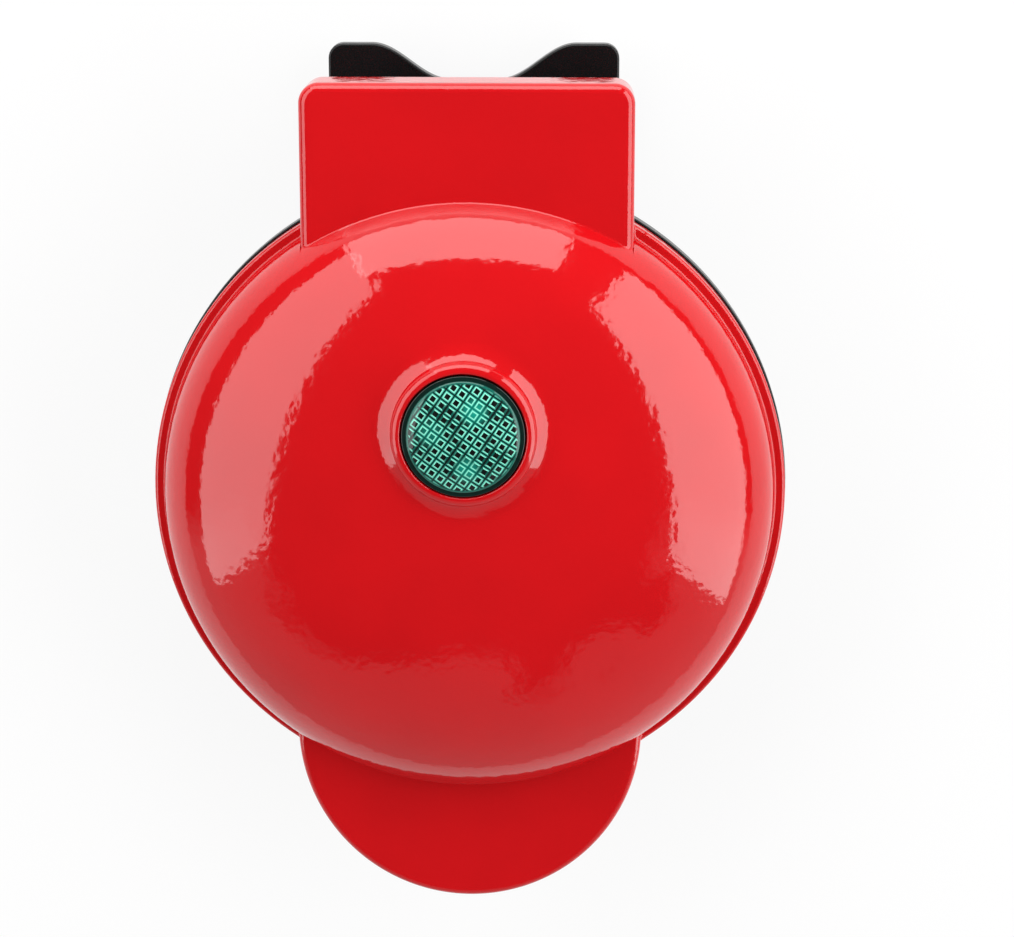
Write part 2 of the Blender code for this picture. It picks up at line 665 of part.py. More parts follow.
def base_housing():
    """One black moulding: bowl, rim, hinge neck and handle, with screw wells and foot sockets."""
    top = BASE_RIM_TOP + CUT_OVERRUN
    housing = turned("base_housing", [
        (0, top),
        (BASE_RIM_RADIUS, top),
        (BASE_RIM_RADIUS, BOWL_TOP + RIM_FILLET),
        (BASE_RIM_RADIUS - RIM_FILLET, BOWL_TOP),
        *reversed(bowl_profile(0)),
        (0, BASE_BOTTOM),
    ], "black_moulding", DOME_STEPS)
    tab_bottom = BASE_RIM_TOP - TAB_DEPTH
    tab = sheet_solid("tab_outside", tongue_outline(TAB_INSET), tab_bottom, top, rounding=TONGUE_FILLET)
    low = (-NECK_HALF_WIDTH, BLOCK_FRONT, NECK_BOTTOM)
    shelf = box("neck_outside", low, (NECK_HALF_WIDTH, NECK_REAR, NECK_SHELF))
    tower_low = (-NECK_HALF_WIDTH, BLOCK_FRONT, INLET_Z)
    tower = box("neck_tower", tower_low, (NECK_HALF_WIDTH, NECK_FACE, BASE_RIM_TOP))
    join(housing, tab, join(shelf, tower))

    above = top + CUT_OVERRUN
    hollow = turned("bowl_inside", [
        (0, above),
        (BASE_RIM_RADIUS - BASE_WALL, above),
        (BASE_RIM_RADIUS - BASE_WALL, LINER_SEAT),
        (BOWL_RADIUS - BASE_WALL, LINER_SEAT),
        *reversed(bowl_profile(BASE_WALL)),
        (0, BASE_BOTTOM + BASE_WALL),
    ], steps=DOME_STEPS)
    joint = PILLAR_END - SEAT_GAP
    kept_wells = pillars("well_walls", CASE_SCREWS, WELL_RADIUS + WELL_WALL, 0, joint)
    cut(hollow, kept_wells)
    tab_inset = TAB_INSET + BASE_WALL
    tab_hollow = sheet_solid("tab_inside", tongue_outline(tab_inset), tab_bottom + BASE_WALL, above)
    inner = NECK_HALF_WIDTH - BASE_WALL
    floor = NECK_BOTTOM + BASE_WALL
    ceiling = NECK_SHELF - BASE_WALL
    shelf_hollow = box(
        "neck_inside", (-inner, BLOCK_FRONT, floor), (inner, NECK_REAR - BASE_WALL, ceiling),
    )
    tower_inner = (-inner, BLOCK_FRONT, INLET_Z)
    tower_hollow = box("tower_inside", tower_inner, (inner, NECK_FACE - BASE_WALL, above))
    neck_hollow = join(shelf_hollow, tower_hollow)
    kept_bosses = pillars("wrap_bosses", WRAP_SCREWS, WRAP_BOSS_RADIUS, 0, floor + WRAP_SCREW_GRIP)
    cut(neck_hollow, kept_bosses)
    cut(housing, hollow, tab_hollow, neck_hollow)

    cap = NECK_HALF_WIDTH + SIDE_GAP
    rear_gap = box("rim_gap", (-cap, BLOCK_FRONT, LINER_SEAT), (cap, HALF_LENGTH, above))
    reach = 2 * HALF_LENGTH
    trim = box("above_base", (-reach, -reach, BASE_RIM_TOP), (reach, reach, above))
    wells = pillars("wells", CASE_SCREWS, WELL_RADIUS, 0, joint - CASE_FLANGE)
    holes = pillars("well_holes", CASE_SCREWS, SCREW_RADIUS + SIDE_GAP, 0, joint + CUT_OVERRUN)
    sockets = pillars(
        "foot_sockets", FOOT_PLACES, FOOT_RADIUS + SIDE_GAP, 0, BASE_BOTTOM + FOOT_SOCKET,
    )
    pilots = pillars(
        "wrap_pilots", WRAP_SCREWS, SCREW_RADIUS + SIDE_GAP, 0, NECK_BOTTOM + WRAP_SCREW_GRIP,
    )
    inlet = turned("inlet_hole", [
        (0, NECK_REAR + CUT_OVERRUN),
        (BUSH_RADIUS + SIDE_GAP, NECK_REAR + CUT_OVERRUN),
        (BUSH_RADIUS + SIDE_GAP, NECK_REAR - BASE_WALL - CUT_OVERRUN),
        (0, NECK_REAR - BASE_WALL - CUT_OVERRUN),
    ], steps=RING_STEPS, axis="Y", centre=(0, INLET_Z))
    return cut(housing, rear_gap, trim, wells, holes, sockets, pilots, inlet)


def liner_solid(name, side, outer_radius, handle_inset):
    """Ring round a baking plate: visible face, inner wall, drilled screw lugs and handle lining."""
    face = rim_level(side)
    back = rim_level(side, LINER_THICKNESS)
    end = face_level(side, PAN_DEPTH + PAN_SHEET)
    ring = turned(name, [
        (POCKET_RADIUS, face),
        (outer_radius, face),
        (outer_radius, back),
        (POCKET_RADIUS + LINER_WALL, back),
        (POCKET_RADIUS + LINER_WALL, end),
        (POCKET_RADIUS, end),
    ], "black_moulding", DOME_STEPS, closed=True)
    low, high = sorted((face, back))
    inside_wall = POCKET_RADIUS + LINER_WALL / 2
    handle = sheet_solid(f"{name}_handle", tongue_outline(handle_inset), low, high)
    inside = pillars(
        f"{name}_inside", [(0, 0)], inside_wall, low - CUT_OVERRUN, high + CUT_OVERRUN,
        steps=DOME_STEPS,
    )
    cut(handle, inside)
    low, high = sorted((face_level(side, LUG_DEPTH), face_level(side, LUG_DEPTH + LUG_THICKNESS)))
    near = BOSS_CIRCLE - LUG_REACH
    half = LUG_HALF_WIDTH
    across = mirrored_boxes(f"{name}_side_lugs", (near, -half, low), (inside_wall, half, high))
    front = box(f"{name}_front_lug", (-half, -inside_wall, low), (half, -near, high))
    rear = box(f"{name}_rear_lug", (-half, near, low), (half, inside_wall, high))
    low, high = sorted((face_level(side, BOSS_DEPTH), face_level(side, PAN_DEPTH + CUT_OVERRUN)))
    holes = pillars(f"{name}_holes", PLATE_SCREWS, SCREW_RADIUS + SIDE_GAP, low, high)
    for lugs in (across, front, rear):
        cut(lugs, holes)
    return join(ring, handle, across, front, rear)


def hinge_arms(name, inner, foot_low, foot_high, bore):
    """Two bored arms, each the hull of an eye round the hinge pin and a foot box on its liner."""
    arms = []
    for sign in (-1, 1):
        shape = bmesh.new()
        left, right = sorted((sign * inner, sign * (inner + EAR_WIDTH)))
        add_box(shape, (left, *foot_low), (right, *foot_high))
        turn = Matrix.Rotation(math.radians(90), 4, "Y")
        middle = Matrix.Translation(((left + right) / 2, HINGE_Y, HINGE_Z))
        bmesh.ops.create_cone(
            shape, cap_ends=True, segments=PIN_STEPS, radius1=EAR_RADIUS, radius2=EAR_RADIUS,
            depth=EAR_WIDTH, matrix=middle @ turn,
        )
        bmesh.ops.delete(shape, geom=shape.edges[:] + shape.faces[:], context="EDGES_FACES")
        hull = bmesh.ops.convex_hull(shape, input=shape.verts[:])
        spare = [vert for vert in hull["geom_interior"] if isinstance(vert, bmesh.types.BMVert)]
        bmesh.ops.delete(shape, geom=spare, context="VERTS")
        bmesh.ops.dissolve_limit(
            shape, angle_limit=FLAT_ANGLE, verts=shape.verts[:], edges=shape.edges[:],
        )
        arm = from_bmesh(f"{name}_{'left' if sign < 0 else 'right'}", shape, None)
        arms.append(cut(arm, bore))
    return arms


def pin_bore():
    """Cutter for the hinge pin's hole through every ear."""
    reach = KNUCKLE_OUTER + CUT_OVERRUN
    profile = [(0, reach), (PIN_RADIUS + SIDE_GAP, reach), (PIN_RADIUS + SIDE_GAP, -reach), (0, -reach)]
    return turned("pin_bore", profile, steps=PIN_STEPS, axis="X", centre=(HINGE_Y, HINGE_Z))


def base_liner(bore):
    """Lower liner, with its screw pillars, the cap of the neck and the two hinge ears."""
    outer = BASE_RIM_RADIUS - BASE_WALL - SIDE_GAP
    part = liner_solid("base_liner", BASE_SIDE, outer, TAB_INSET + BASE_WALL + SIDE_GAP)
    under = BASE_RIM_TOP - LINER_THICKNESS
    cap_low = (-NECK_HALF_WIDTH, CAP_FRONT, under)
    cap = box("neck_cap", cap_low, (NECK_HALF_WIDTH, NECK_FACE, BASE_RIM_TOP))
    middle = (under + BASE_RIM_TOP) / 2
    posts = pillars("liner_pillars", CASE_SCREWS, CASE_BOSS_RADIUS, PILLAR_END, middle)
    foot_low = (NECK_FACE - EAR_FOOT_LENGTH, middle)
    foot_high = (NECK_FACE, BASE_RIM_TOP + LINER_THICKNESS)
    ears = hinge_arms("ear", BASE_EAR_INNER, foot_low, foot_high, bore)
    join(part, cap, posts, *ears)
    pilots = pillars(
        "pillar_pilots", CASE_SCREWS, SCREW_RADIUS + SIDE_GAP, PILLAR_END - CUT_OVERRUN,
        PILLAR_END + CASE_SCREW_GRIP,
    )
    slot_low = (-LEAD_SLOT_HALF_WIDTH, SLOT_Y - LEAD_SLOT_LENGTH / 2, under - CUT_OVERRUN)
    slot_high = (LEAD_SLOT_HALF_WIDTH, SLOT_Y + LEAD_SLOT_LENGTH / 2, BASE_RIM_TOP + CUT_OVERRUN)
    slot = box("lead_slot", slot_low, slot_high)
    return cut(part, pilots, slot)


def lid_liner(bore):
    """Upper liner, with its screw wells, the curtain behind the plate and the two hinge knuckles."""
    outer = RIM_RADIUS - LID_WALL - SIDE_GAP
    part = liner_solid("lid_liner", LID_SIDE, outer, LID_WALL + SIDE_GAP)
    back = SKIRT_BOTTOM + LINER_THICKNESS
    middle = (SKIRT_BOTTOM + back) / 2
    boss_end = SKIRT_BOTTOM + LID_BOSS_RISE
    posts = pillars("lid_well_walls", CASE_SCREWS, CASE_BOSS_RADIUS, middle, boss_end)
    ceiling = BLOCK_TOP - LID_WALL - SEAT_GAP
    edge = outer - CURTAIN_WALL / 2
    curtain = turned("curtain", [
        (edge, middle),
        (edge, ceiling),
        (edge - CURTAIN_WALL, ceiling),
        (edge - CURTAIN_WALL, middle),
    ], steps=DOME_STEPS, closed=True)
    half = NECK_HALF_WIDTH
    behind = box("curtain_part", (-half, BLOCK_FRONT, SKIRT_BOTTOM), (half, HALF_LENGTH, BLOCK_TOP))
    combine(curtain, behind, "INTERSECT")
    slot = box(
        "curtain_slot", (-LEAD_SLOT_HALF_WIDTH, BLOCK_FRONT, SKIRT_BOTTOM),
        (LEAD_SLOT_HALF_WIDTH, HALF_LENGTH, BLOCK_TOP),
    )
    cut(curtain, slot)
    foot_low = (CAP_FRONT, middle - LINER_THICKNESS / 4)
    foot_high = (CAP_FRONT + KNUCKLE_FOOT_LENGTH, back + LINER_THICKNESS)
    knuckles = hinge_arms("knuckle", KNUCKLE_INNER, foot_low, foot_high, bore)
    join(part, posts, curtain, *knuckles)
    wells = pillars(
        "lid_wells", CASE_SCREWS, WELL_RADIUS, SKIRT_BOTTOM - CUT_OVERRUN, boss_end - CASE_FLANGE,
    )
    holes = pillars(
        "lid_holes", CASE_SCREWS, SCREW_RADIUS + SIDE_GAP, SKIRT_BOTTOM, boss_end + CUT_OVERRUN,
    )
    wall_end = face_level(LID_SIDE, PAN_DEPTH + PAN_SHEET + CUT_OVERRUN)
    notches = pillars("boss_notches", CASE_SCREWS, CASE_BOSS_RADIUS + SIDE_GAP, boss_end, wall_end)
    return cut(part, notches, wells, holes)


def baking_plate(name, side):
    """Cast plate with four ring cavities, the bumps behind them and four screw bosses."""
    def level(depth):
        return face_level(side, depth)

    plate = turned(name, [
        (0, level(0)),
        (PLATE_RADIUS - PLATE_EDGE, level(0)),
        (PLATE_RADIUS, level(PLATE_EDGE)),
        (PLATE_RADIUS, level(PLATE_THICKNESS)),
        (0, level(PLATE_THICKNESS)),
    ], "nonstick_casting", DISC_STEPS)
    inside = PLATE_THICKNESS / 2
    outer = CAVITY_RADIUS + CAVITY_WALL
    for number, centre in enumerate(RING_CENTRES):
        bump = turned(f"{name}_bump_{number + 1}", [
            (0, level(inside)),
            (outer, level(inside)),
            (outer, level(BUMP_DEPTH - BUMP_EDGE)),
            (outer - BUMP_EDGE, level(BUMP_DEPTH)),
            (0, level(BUMP_DEPTH)),
        ], steps=BUMP_STEPS, centre=centre)
        join(plate, bump)
    low, high = sorted((level(inside), level(BOSS_DEPTH)))
    join(plate, pillars(f"{name}_bosses", PLATE_SCREWS, BOSS_RADIUS, low, high))

    middle = (CAVITY_RADIUS + POST_RADIUS) / 2
    half = (CAVITY_RADIUS - POST_RADIUS) / 2
    hollow = [
        (radius, level(-depth))
        for radius, depth in arc((middle, 0), (half, CAVITY_DEPTH), -math.pi, 0, CAVITY_POINTS)
    ]
    hollow += [(CAVITY_RADIUS, level(-CUT_OVERRUN)), (POST_RADIUS, level(-CUT_OVERRUN))]
    for number, centre in enumerate(RING_CENTRES):
        ring = turned(
            f"{name}_ring_{number + 1}", hollow, steps=CAVITY_STEPS, closed=True, centre=centre,
        )
        cut(plate, ring)
    low, high = sorted((level(BOSS_DEPTH - PLATE_SCREW_GRIP), level(BOSS_DEPTH + CUT_OVERRUN)))
    return cut(plate, pillars(f"{name}_pilots", PLATE_SCREWS, SCREW_RADIUS + SIDE_GAP, low, high))


def heater_end(sign):
    """Where one end of a heating element stands, at the hinge side of its ring."""
    angle = math.pi / 2 + sign * HEATER_END_ANGLE
    touch = polar(RING_CIRCLE, angle)
    return (
        touch[0] + sign * HEATER_BEND * math.sin(angle),
        touch[1] - sign * HEATER_BEND * math.cos(angle),
    )


def heating_element(name, side):
    """Tubular ring on the backs of the four bumps, with both ends bent away from the plate."""
    half_gap = HEATER_END_ANGLE
    start = math.pi / 2 + half_gap
    sweep = 2 * (math.pi - half_gap)
    route = []
    for step in range(RING_STEPS + 1):
        place = polar(RING_CIRCLE, start + sweep * step / RING_STEPS)
        route.append((*place, face_level(side, HEATER_DEPTH)))
    for sign in (1, -1):
        angle = math.pi / 2 + sign * half_gap
        touch = polar(RING_CIRCLE, angle)
        bend = []
        for step in range(1, BEND_POINTS + 1):
            turn = math.pi / 2 * step / BEND_POINTS
            along = HEATER_BEND * math.sin(turn)
            depth = HEATER_DEPTH + HEATER_BEND * (1 - math.cos(turn))
            x = touch[0] + sign * along * math.sin(angle)
            y = touch[1] - sign * along * math.cos(angle)
            bend.append((x, y, face_level(side, depth)))
        bend.append((*heater_end(sign), face_level(side, HEATER_END_DEPTH)))
        route = [*reversed(bend), *route] if sign > 0 else [*route, *bend]
    return tube(name, route, HEATER_TUBE_RADIUS, "heater_steel")


def reflector_pan(name, side):
    """Aluminised sheet pan behind an element, held between the lugs and the screw heads."""
    flange = face_level(side, PAN_DEPTH)
    flange_back = face_level(side, PAN_DEPTH + PAN_SHEET)
    floor = face_level(side, PAN_FLOOR)
    floor_back = face_level(side, PAN_FLOOR + PAN_SHEET)
    pan = turned(name, [
        (PAN_EYE_RADIUS, floor),
        (PAN_WELL_RADIUS - PAN_DRAFT, floor),
        (PAN_WELL_RADIUS, flange),
        (PAN_RADIUS, flange),
        (PAN_RADIUS, flange_back),
        (PAN_WELL_RADIUS + PAN_SHEET, flange_back),
        (PAN_WELL_RADIUS + PAN_SHEET - PAN_DRAFT, floor_back),
        (PAN_EYE_RADIUS, floor_back),
    ], "aluminised_sheet", DISC_STEPS, closed=True)
    ends = (face_level(side, PAN_DEPTH - CUT_OVERRUN), face_level(side, PAN_FLOOR + CUT_OVERRUN))
    low, high = sorted(ends)
    screw_holes = pillars(f"{name}_holes", PLATE_SCREWS, SCREW_RADIUS + SIDE_GAP, low, high)
    tubes = [heater_end(1), heater_end(-1)]
    end_holes = pillars(f"{name}_ends", tubes, HEATER_TUBE_RADIUS + 2 * SIDE_GAP, low, high)
    return cut(pan, screw_holes, end_holes)


def screws(name, places, seat, side, grip):
    """Pan-head screws whose heads sit on a level, with the shank running towards one side."""
    def level(depth):
        return seat + side * depth

    tip = grip - SCREW_RADIUS / 2
    mesh = None
    for number, (x, y) in enumerate(places):
        label = f"{name}_{number + 1}"
        if mesh is None:
            screw = turned(label, [
                (0, level(DRIVE_DEPTH - HEAD_HEIGHT)),
                (DRIVE_RADIUS, level(-HEAD_HEIGHT)),
                (HEAD_RADIUS, level(-HEAD_HEIGHT)),
                (HEAD_RADIUS, level(0)),
                (SCREW_RADIUS, level(0)),
                (SCREW_RADIUS, level(tip)),
                (0, level(grip)),
            ], "zinc_steel", SCREW_STEPS)
            mesh = screw.data
        else:
            screw = show_as(bpy.data.objects.new(label, mesh), "zinc_steel")
        screw.location = (x, y, 0)


def feet():
    """Four rubber feet pressed into sockets under the base."""
    foot = None
    top = BASE_BOTTOM + FOOT_SOCKET - SEAT_GAP
    for number, (x, y) in enumerate(FOOT_PLACES):
        label = f"foot_{number + 1}"
        if foot is None:
            foot = turned(label, [
                (0, top),
                (FOOT_RADIUS, top),
                (FOOT_RADIUS, FOOT_EDGE),
                (FOOT_RADIUS - FOOT_EDGE, 0),
                (0, 0),
            ], "black_rubber", SMALL_STEPS)
            foot.location = (x, y, 0)
        else:
            other = show_as(bpy.data.objects.new(label, foot.data), "black_rubber")
            other.location = (x, y, 0)


def thermostat():
    """Bimetal thermostat against the back of the lower plate, with two blade terminals."""
    top = face_level(BASE_SIDE, PLATE_THICKNESS) - SEAT_GAP
    bottom = top - THERMOSTAT_HEIGHT
    cap = bottom + THERMOSTAT_HEIGHT * THERMOSTAT_CAP_SHARE
    body = turned("thermostat", [
        (0, top),
        (THERMOSTAT_RADIUS, top),
        (THERMOSTAT_RADIUS, cap),
        (THERMOSTAT_RADIUS * THERMOSTAT_NECK_SHARE, cap),
        (THERMOSTAT_RADIUS * THERMOSTAT_NECK_SHARE, bottom),
        (0, bottom),
    ], "white_ceramic", RING_STEPS)
    low = (BLADE_HALF_GAP - BLADE_SHEET / 2, -BLADE_WIDTH / 2, bottom - BLADE_LENGTH)
    high = (BLADE_HALF_GAP + BLADE_SHEET / 2, BLADE_WIDTH / 2, bottom + BLADE_SHEET)
    return join(body, mirrored_boxes("thermostat_blades", low, high))


def thermal_fuse():
    """Sleeved fuse along Y under the lower pan."""
    half = FUSE_LENGTH / 2
    return turned("thermal_fuse", [
        (0, half),
        (FUSE_RADIUS / 2, half),
        (FUSE_RADIUS, half - FUSE_RADIUS / 2),
        (FUSE_RADIUS, FUSE_RADIUS / 2 - half),
        (FUSE_RADIUS / 2, -half),
        (0, -half),
    ], "glass_fibre_sleeve", SMALL_STEPS, axis="Y", centre=(FUSE_OFFSET, FUSE_Z))


def fuse_clip():
    """Strap of bent sheet that holds the fuse up against the pan."""
    inner = FUSE_RADIUS + SIDE_GAP
    outer = inner + FUSE_CLIP_SHEET
    seat = face_level(BASE_SIDE, PAN_FLOOR + PAN_SHEET) - SEAT_GAP
    under = seat - FUSE_CLIP_SHEET
    foot = outer + FUSE_CLIP_FOOT
    centre = (FUSE_OFFSET, FUSE_Z)
    outline = [
        (FUSE_OFFSET - foot, seat),
        (FUSE_OFFSET - inner, seat),
        *arc(centre, (inner, inner), math.pi, 2 * math.pi, 2 * CORNER_POINTS),
        (FUSE_OFFSET + inner, seat),
        (FUSE_OFFSET + foot, seat),
        (FUSE_OFFSET + foot, under),
        (FUSE_OFFSET + outer, under),
        *arc(centre, (outer, outer), 2 * math.pi, math.pi, 2 * CORNER_POINTS),
        (FUSE_OFFSET - outer, under),
        (FUSE_OFFSET - foot, under),
    ]
    half = FUSE_CLIP_WIDTH / 2
    return sheet_solid("fuse_clip", outline, -half, half, "zinc_steel", upright=True)


def terminal_block():
    """Two-way terminal block on the floor of the neck."""
    low = (-TERMINAL_HALF_WIDTH, TERMINAL_Y - TERMINAL_LENGTH, TERMINAL_FLOOR)
    high = (TERMINAL_HALF_WIDTH, TERMINAL_Y, TERMINAL_TOP - TERMINAL_STEP)
    block = box("terminal_block", low, high, "white_ceramic")
    step = TERMINAL_STEP
    ridge = box(
        "terminal_ridge", (low[0] + step, low[1] + step, low[2] + step),
        (high[0] - step, high[1] - step, TERMINAL_TOP),
    )
    return join(block, ridge)


def inlet_bush():
    """Flanged rubber bush in the cord's hole at the back of the neck."""
    outside = NECK_REAR + SEAT_GAP
    inside = NECK_REAR - BASE_WALL - BUSH_TAIL
    return turned("cord_inlet_bush", [
        (BUSH_BORE, outside + BUSH_FLANGE),
        (BUSH_FLANGE_RADIUS, outside + BUSH_FLANGE),
        (BUSH_FLANGE_RADIUS, outside),
        (BUSH_RADIUS, outside),
        (BUSH_RADIUS, inside),
        (BUSH_BORE, inside),
    ], "black_rubber", RING_STEPS, closed=True, axis="Y", centre=(0, INLET_Z))


def horn_edge():
    """Right half of the cord-wrap plate's rear edge: rounded horn, then a cosine slope to the saddle."""
    corner = arc(
        (WRAP_HALF_WIDTH - WRAP_CORNER, HALF_LENGTH - WRAP_CORNER), (WRAP_CORNER, WRAP_CORNER),
        0, math.pi / 2, CORNER_POINTS,
    )
    slope = []
    for step in range(ARC_POINTS + 1):
        share = step / ARC_POINTS
        x = HORN_INNER + (SADDLE_HALF_WIDTH - HORN_INNER) * share
        y = HALF_LENGTH - SADDLE_DEPTH * (1 - math.cos(math.pi * share)) / 2
        slope.append((x, y))
    return corner + slope


def wrap_plate():
    """Flat plate with two horns behind the base, which the cord is wound on."""
    right = horn_edge()
    left = [(-x, y) for x, y in reversed(right)]
    outline = [(-WRAP_HALF_WIDTH, BLOCK_FRONT), (WRAP_HALF_WIDTH, BLOCK_FRONT), *right, *left]
    top = WRAP_HEIGHT + WRAP_THICKNESS
    plate = sheet_solid("cord_wrap_plate", outline, WRAP_HEIGHT, top, "black_moulding")
    clear = bowl_radius(top) + SEAT_GAP
    bowl = pillars("wrap_front", [(0, 0)], clear, 0, top + CUT_OVERRUN, steps=DOME_STEPS)
    heads = pillars("wrap_heads", WRAP_SCREWS, WELL_RADIUS, 0, WRAP_SEAT)
    holes = pillars("wrap_holes", WRAP_SCREWS, SCREW_RADIUS + SIDE_GAP, 0, top + CUT_OVERRUN)
    return cut(plate, bowl, heads, holes)


def hinge_pin():
    """Steel pin through all four ears, with a groove near each end."""
    groove = PIN_RADIUS - GROOVE_DEPTH
    outer = CLIP_X + CLIP_SHEET + SEAT_GAP
    half = [
        (0, outer + PIN_END),
        (PIN_RADIUS, outer + PIN_END),
        (PIN_RADIUS, outer),
        (groove, outer),
        (groove, KNUCKLE_OUTER),
        (PIN_RADIUS, KNUCKLE_OUTER),
    ]
    profile = half + [(radius, -along) for radius, along in reversed(half)]
    return turned("hinge_pin", profile, "zinc_steel", PIN_STEPS, axis="X", centre=(HINGE_Y, HINGE_Z))


def pin_clips():
    """Open retaining rings in the grooves of the hinge pin."""
    inner = PIN_RADIUS - GROOVE_DEPTH + SIDE_GAP
    for label, sign in (("left", -1), ("right", 1)):
        near, far = sorted((sign * CLIP_X, sign * (CLIP_X + CLIP_SHEET)))
        clip = turned(f"pin_clip_{label}", [
            (inner, far),
            (CLIP_RADIUS, far),
            (CLIP_RADIUS, near),
            (inner, near),
        ], "zinc_steel", PIN_STEPS, closed=True, axis="X", centre=(HINGE_Y, HINGE_Z))
        mouth = inner * CLIP_MOUTH_SHARE
        low = (near - CUT_OVERRUN, HINGE_Y - mouth, HINGE_Z - CLIP_RADIUS - CUT_OVERRUN)
        cut(clip, box(f"clip_mouth_{label}", low, (far + CUT_OVERRUN, HINGE_Y + mouth, HINGE_Z)))


def indicator_lens():
    """Green lens cap in the collar, with a hollow stem through the dome."""
    crown = arc((0, LENS_TOP - LENS_CROWN), (LENS_RADIUS, LENS_CROWN), math.pi / 2, 0, CORNER_POINTS)
    foot = LENS_FLOOR + SEAT_GAP
    end = foot - STEM_LENGTH
    bore = STEM_RADIUS - STEM_WALL
    return turned("indicator_lens", [
        (0, LENS_TOP),
        *crown[1:],
        (LENS_RADIUS, foot),
        (STEM_RADIUS, foot),
        (STEM_RADIUS, end),
        (bore, end),
        (bore, foot),
        (0, foot),
    ], "green_lens", DISC_STEPS, centre=(0, LENS_OFFSET))


def lens_retainer():
    """Push-on ring that holds the lens's stem inside the lid."""
    top = LENS_SEAT - SEAT_GAP
    inner = STEM_RADIUS + SIDE_GAP
    return turned("lens_retainer", [
        (inner, top),
        (inner + RETAINER_WIDTH, top),
        (inner + RETAINER_WIDTH, top - RETAINER_THICKNESS),
        (inner, top - RETAINER_THICKNESS),
    ], "zinc_steel", RING_STEPS, closed=True, centre=(0, LENS_OFFSET))


def lamp_and_holder():
    """Neon lamp standing in a holder between the upper pan and the lens's stem."""
    foot = face_level(LID_SIDE, PAN_FLOOR + PAN_SHEET) + SEAT_GAP
    top = LENS_FLOOR + SEAT_GAP - STEM_LENGTH - SEAT_GAP
    socket = LAMP_RADIUS + SIDE_GAP
    turned("lamp_holder", [
        (0, top - LAMP_SOCKET_DEPTH),
        (socket, top - LAMP_SOCKET_DEPTH),
        (socket, top),
        (HOLDER_RADIUS, top),
        (HOLDER_RADIUS, foot),
        (0, foot),
    ], "white_ceramic", RING_STEPS, centre=(0, LENS_OFFSET))
    start = top - LAMP_SOCKET_DEPTH + SEAT_GAP
    centre = (0, start + LAMP_LENGTH - LAMP_RADIUS)
    dome = arc(centre, (LAMP_RADIUS, LAMP_RADIUS), math.pi / 2, 0, CORNER_POINTS)
    turned("indicator_lamp", [
        (0, start + LAMP_LENGTH),
        *dome[1:],
        (LAMP_RADIUS, start),
        (0, start),
    ], "lamp_glass", SMALL_STEPS, centre=(0, LENS_OFFSET))


def lead(name, *places):
    """One insulated wire along a smooth route."""
    return tube(name, smooth_route(places), LEAD_RADIUS, "glass_fibre_sleeve")


def base_leads():
    """Wires from the terminal block to the fuse, the thermostat, the lower element and the hinge."""
    run = BASE_BOTTOM + BASE_WALL + LEAD_REST
    front = TERMINAL_Y - TERMINAL_LENGTH - SEAT_GAP
    out = TERMINAL_FLOOR + TERMINAL_HEIGHT / 2
    end = face_level(BASE_SIDE, HEATER_END_DEPTH) - SEAT_GAP
    right = heater_end(-1)
    left = heater_end(1)
    fuse = FUSE_LENGTH / 2 + SEAT_GAP
    blade = face_level(BASE_SIDE, PLATE_THICKNESS) - SEAT_GAP - THERMOSTAT_HEIGHT - BLADE_LENGTH - SEAT_GAP
    middle = (front + right[1]) / 2
    gap = LEAD_SPACING
    lead(
        "lead_block_to_element", (gap, front, out), (gap + gap, middle, run + gap / 2),
        (right[0], right[1] + gap, run), (*right, end - gap), (*right, end),
    )
    lead(
        "lead_block_to_fuse", (TERMINAL_HALF_WIDTH - gap / 2, front, out),
        (TERMINAL_HALF_WIDTH, front - gap - gap, out),
        (FUSE_OFFSET, middle, run + gap), (FUSE_OFFSET, fuse + gap + gap, FUSE_Z),
        (FUSE_OFFSET, fuse, FUSE_Z),
    )
    lead(
        "lead_fuse_to_thermostat", (FUSE_OFFSET, -fuse, FUSE_Z), (FUSE_OFFSET, -fuse - gap, FUSE_Z),
        (FUSE_OFFSET / 2, -fuse, run), (BLADE_HALF_GAP + gap / 2, -gap, run),
        (BLADE_HALF_GAP, 0, blade - gap), (BLADE_HALF_GAP, 0, blade),
    )
    lead(
        "lead_thermostat_to_element", (-BLADE_HALF_GAP, 0, blade), (-BLADE_HALF_GAP, 0, blade - gap),
        (-BLADE_HALF_GAP - gap / 2, fuse, run), (left[0], left[1] - gap, run),
        (*left, end - gap), (*left, end),
    )
    for label, sign in (("left", -1), ("right", 1)):
        x = sign * LEAD_X
        lead(
            f"hinge_lead_{label}", (x, SLOT_Y, TERMINAL_TOP + SEAT_GAP), (x, SLOT_Y, BASE_RIM_TOP),
            (x, LEAD_BEND_Y, HINGE_Z - gap), (x, LEAD_BEND_Y, HINGE_Z - LEAD_RADIUS),
        )


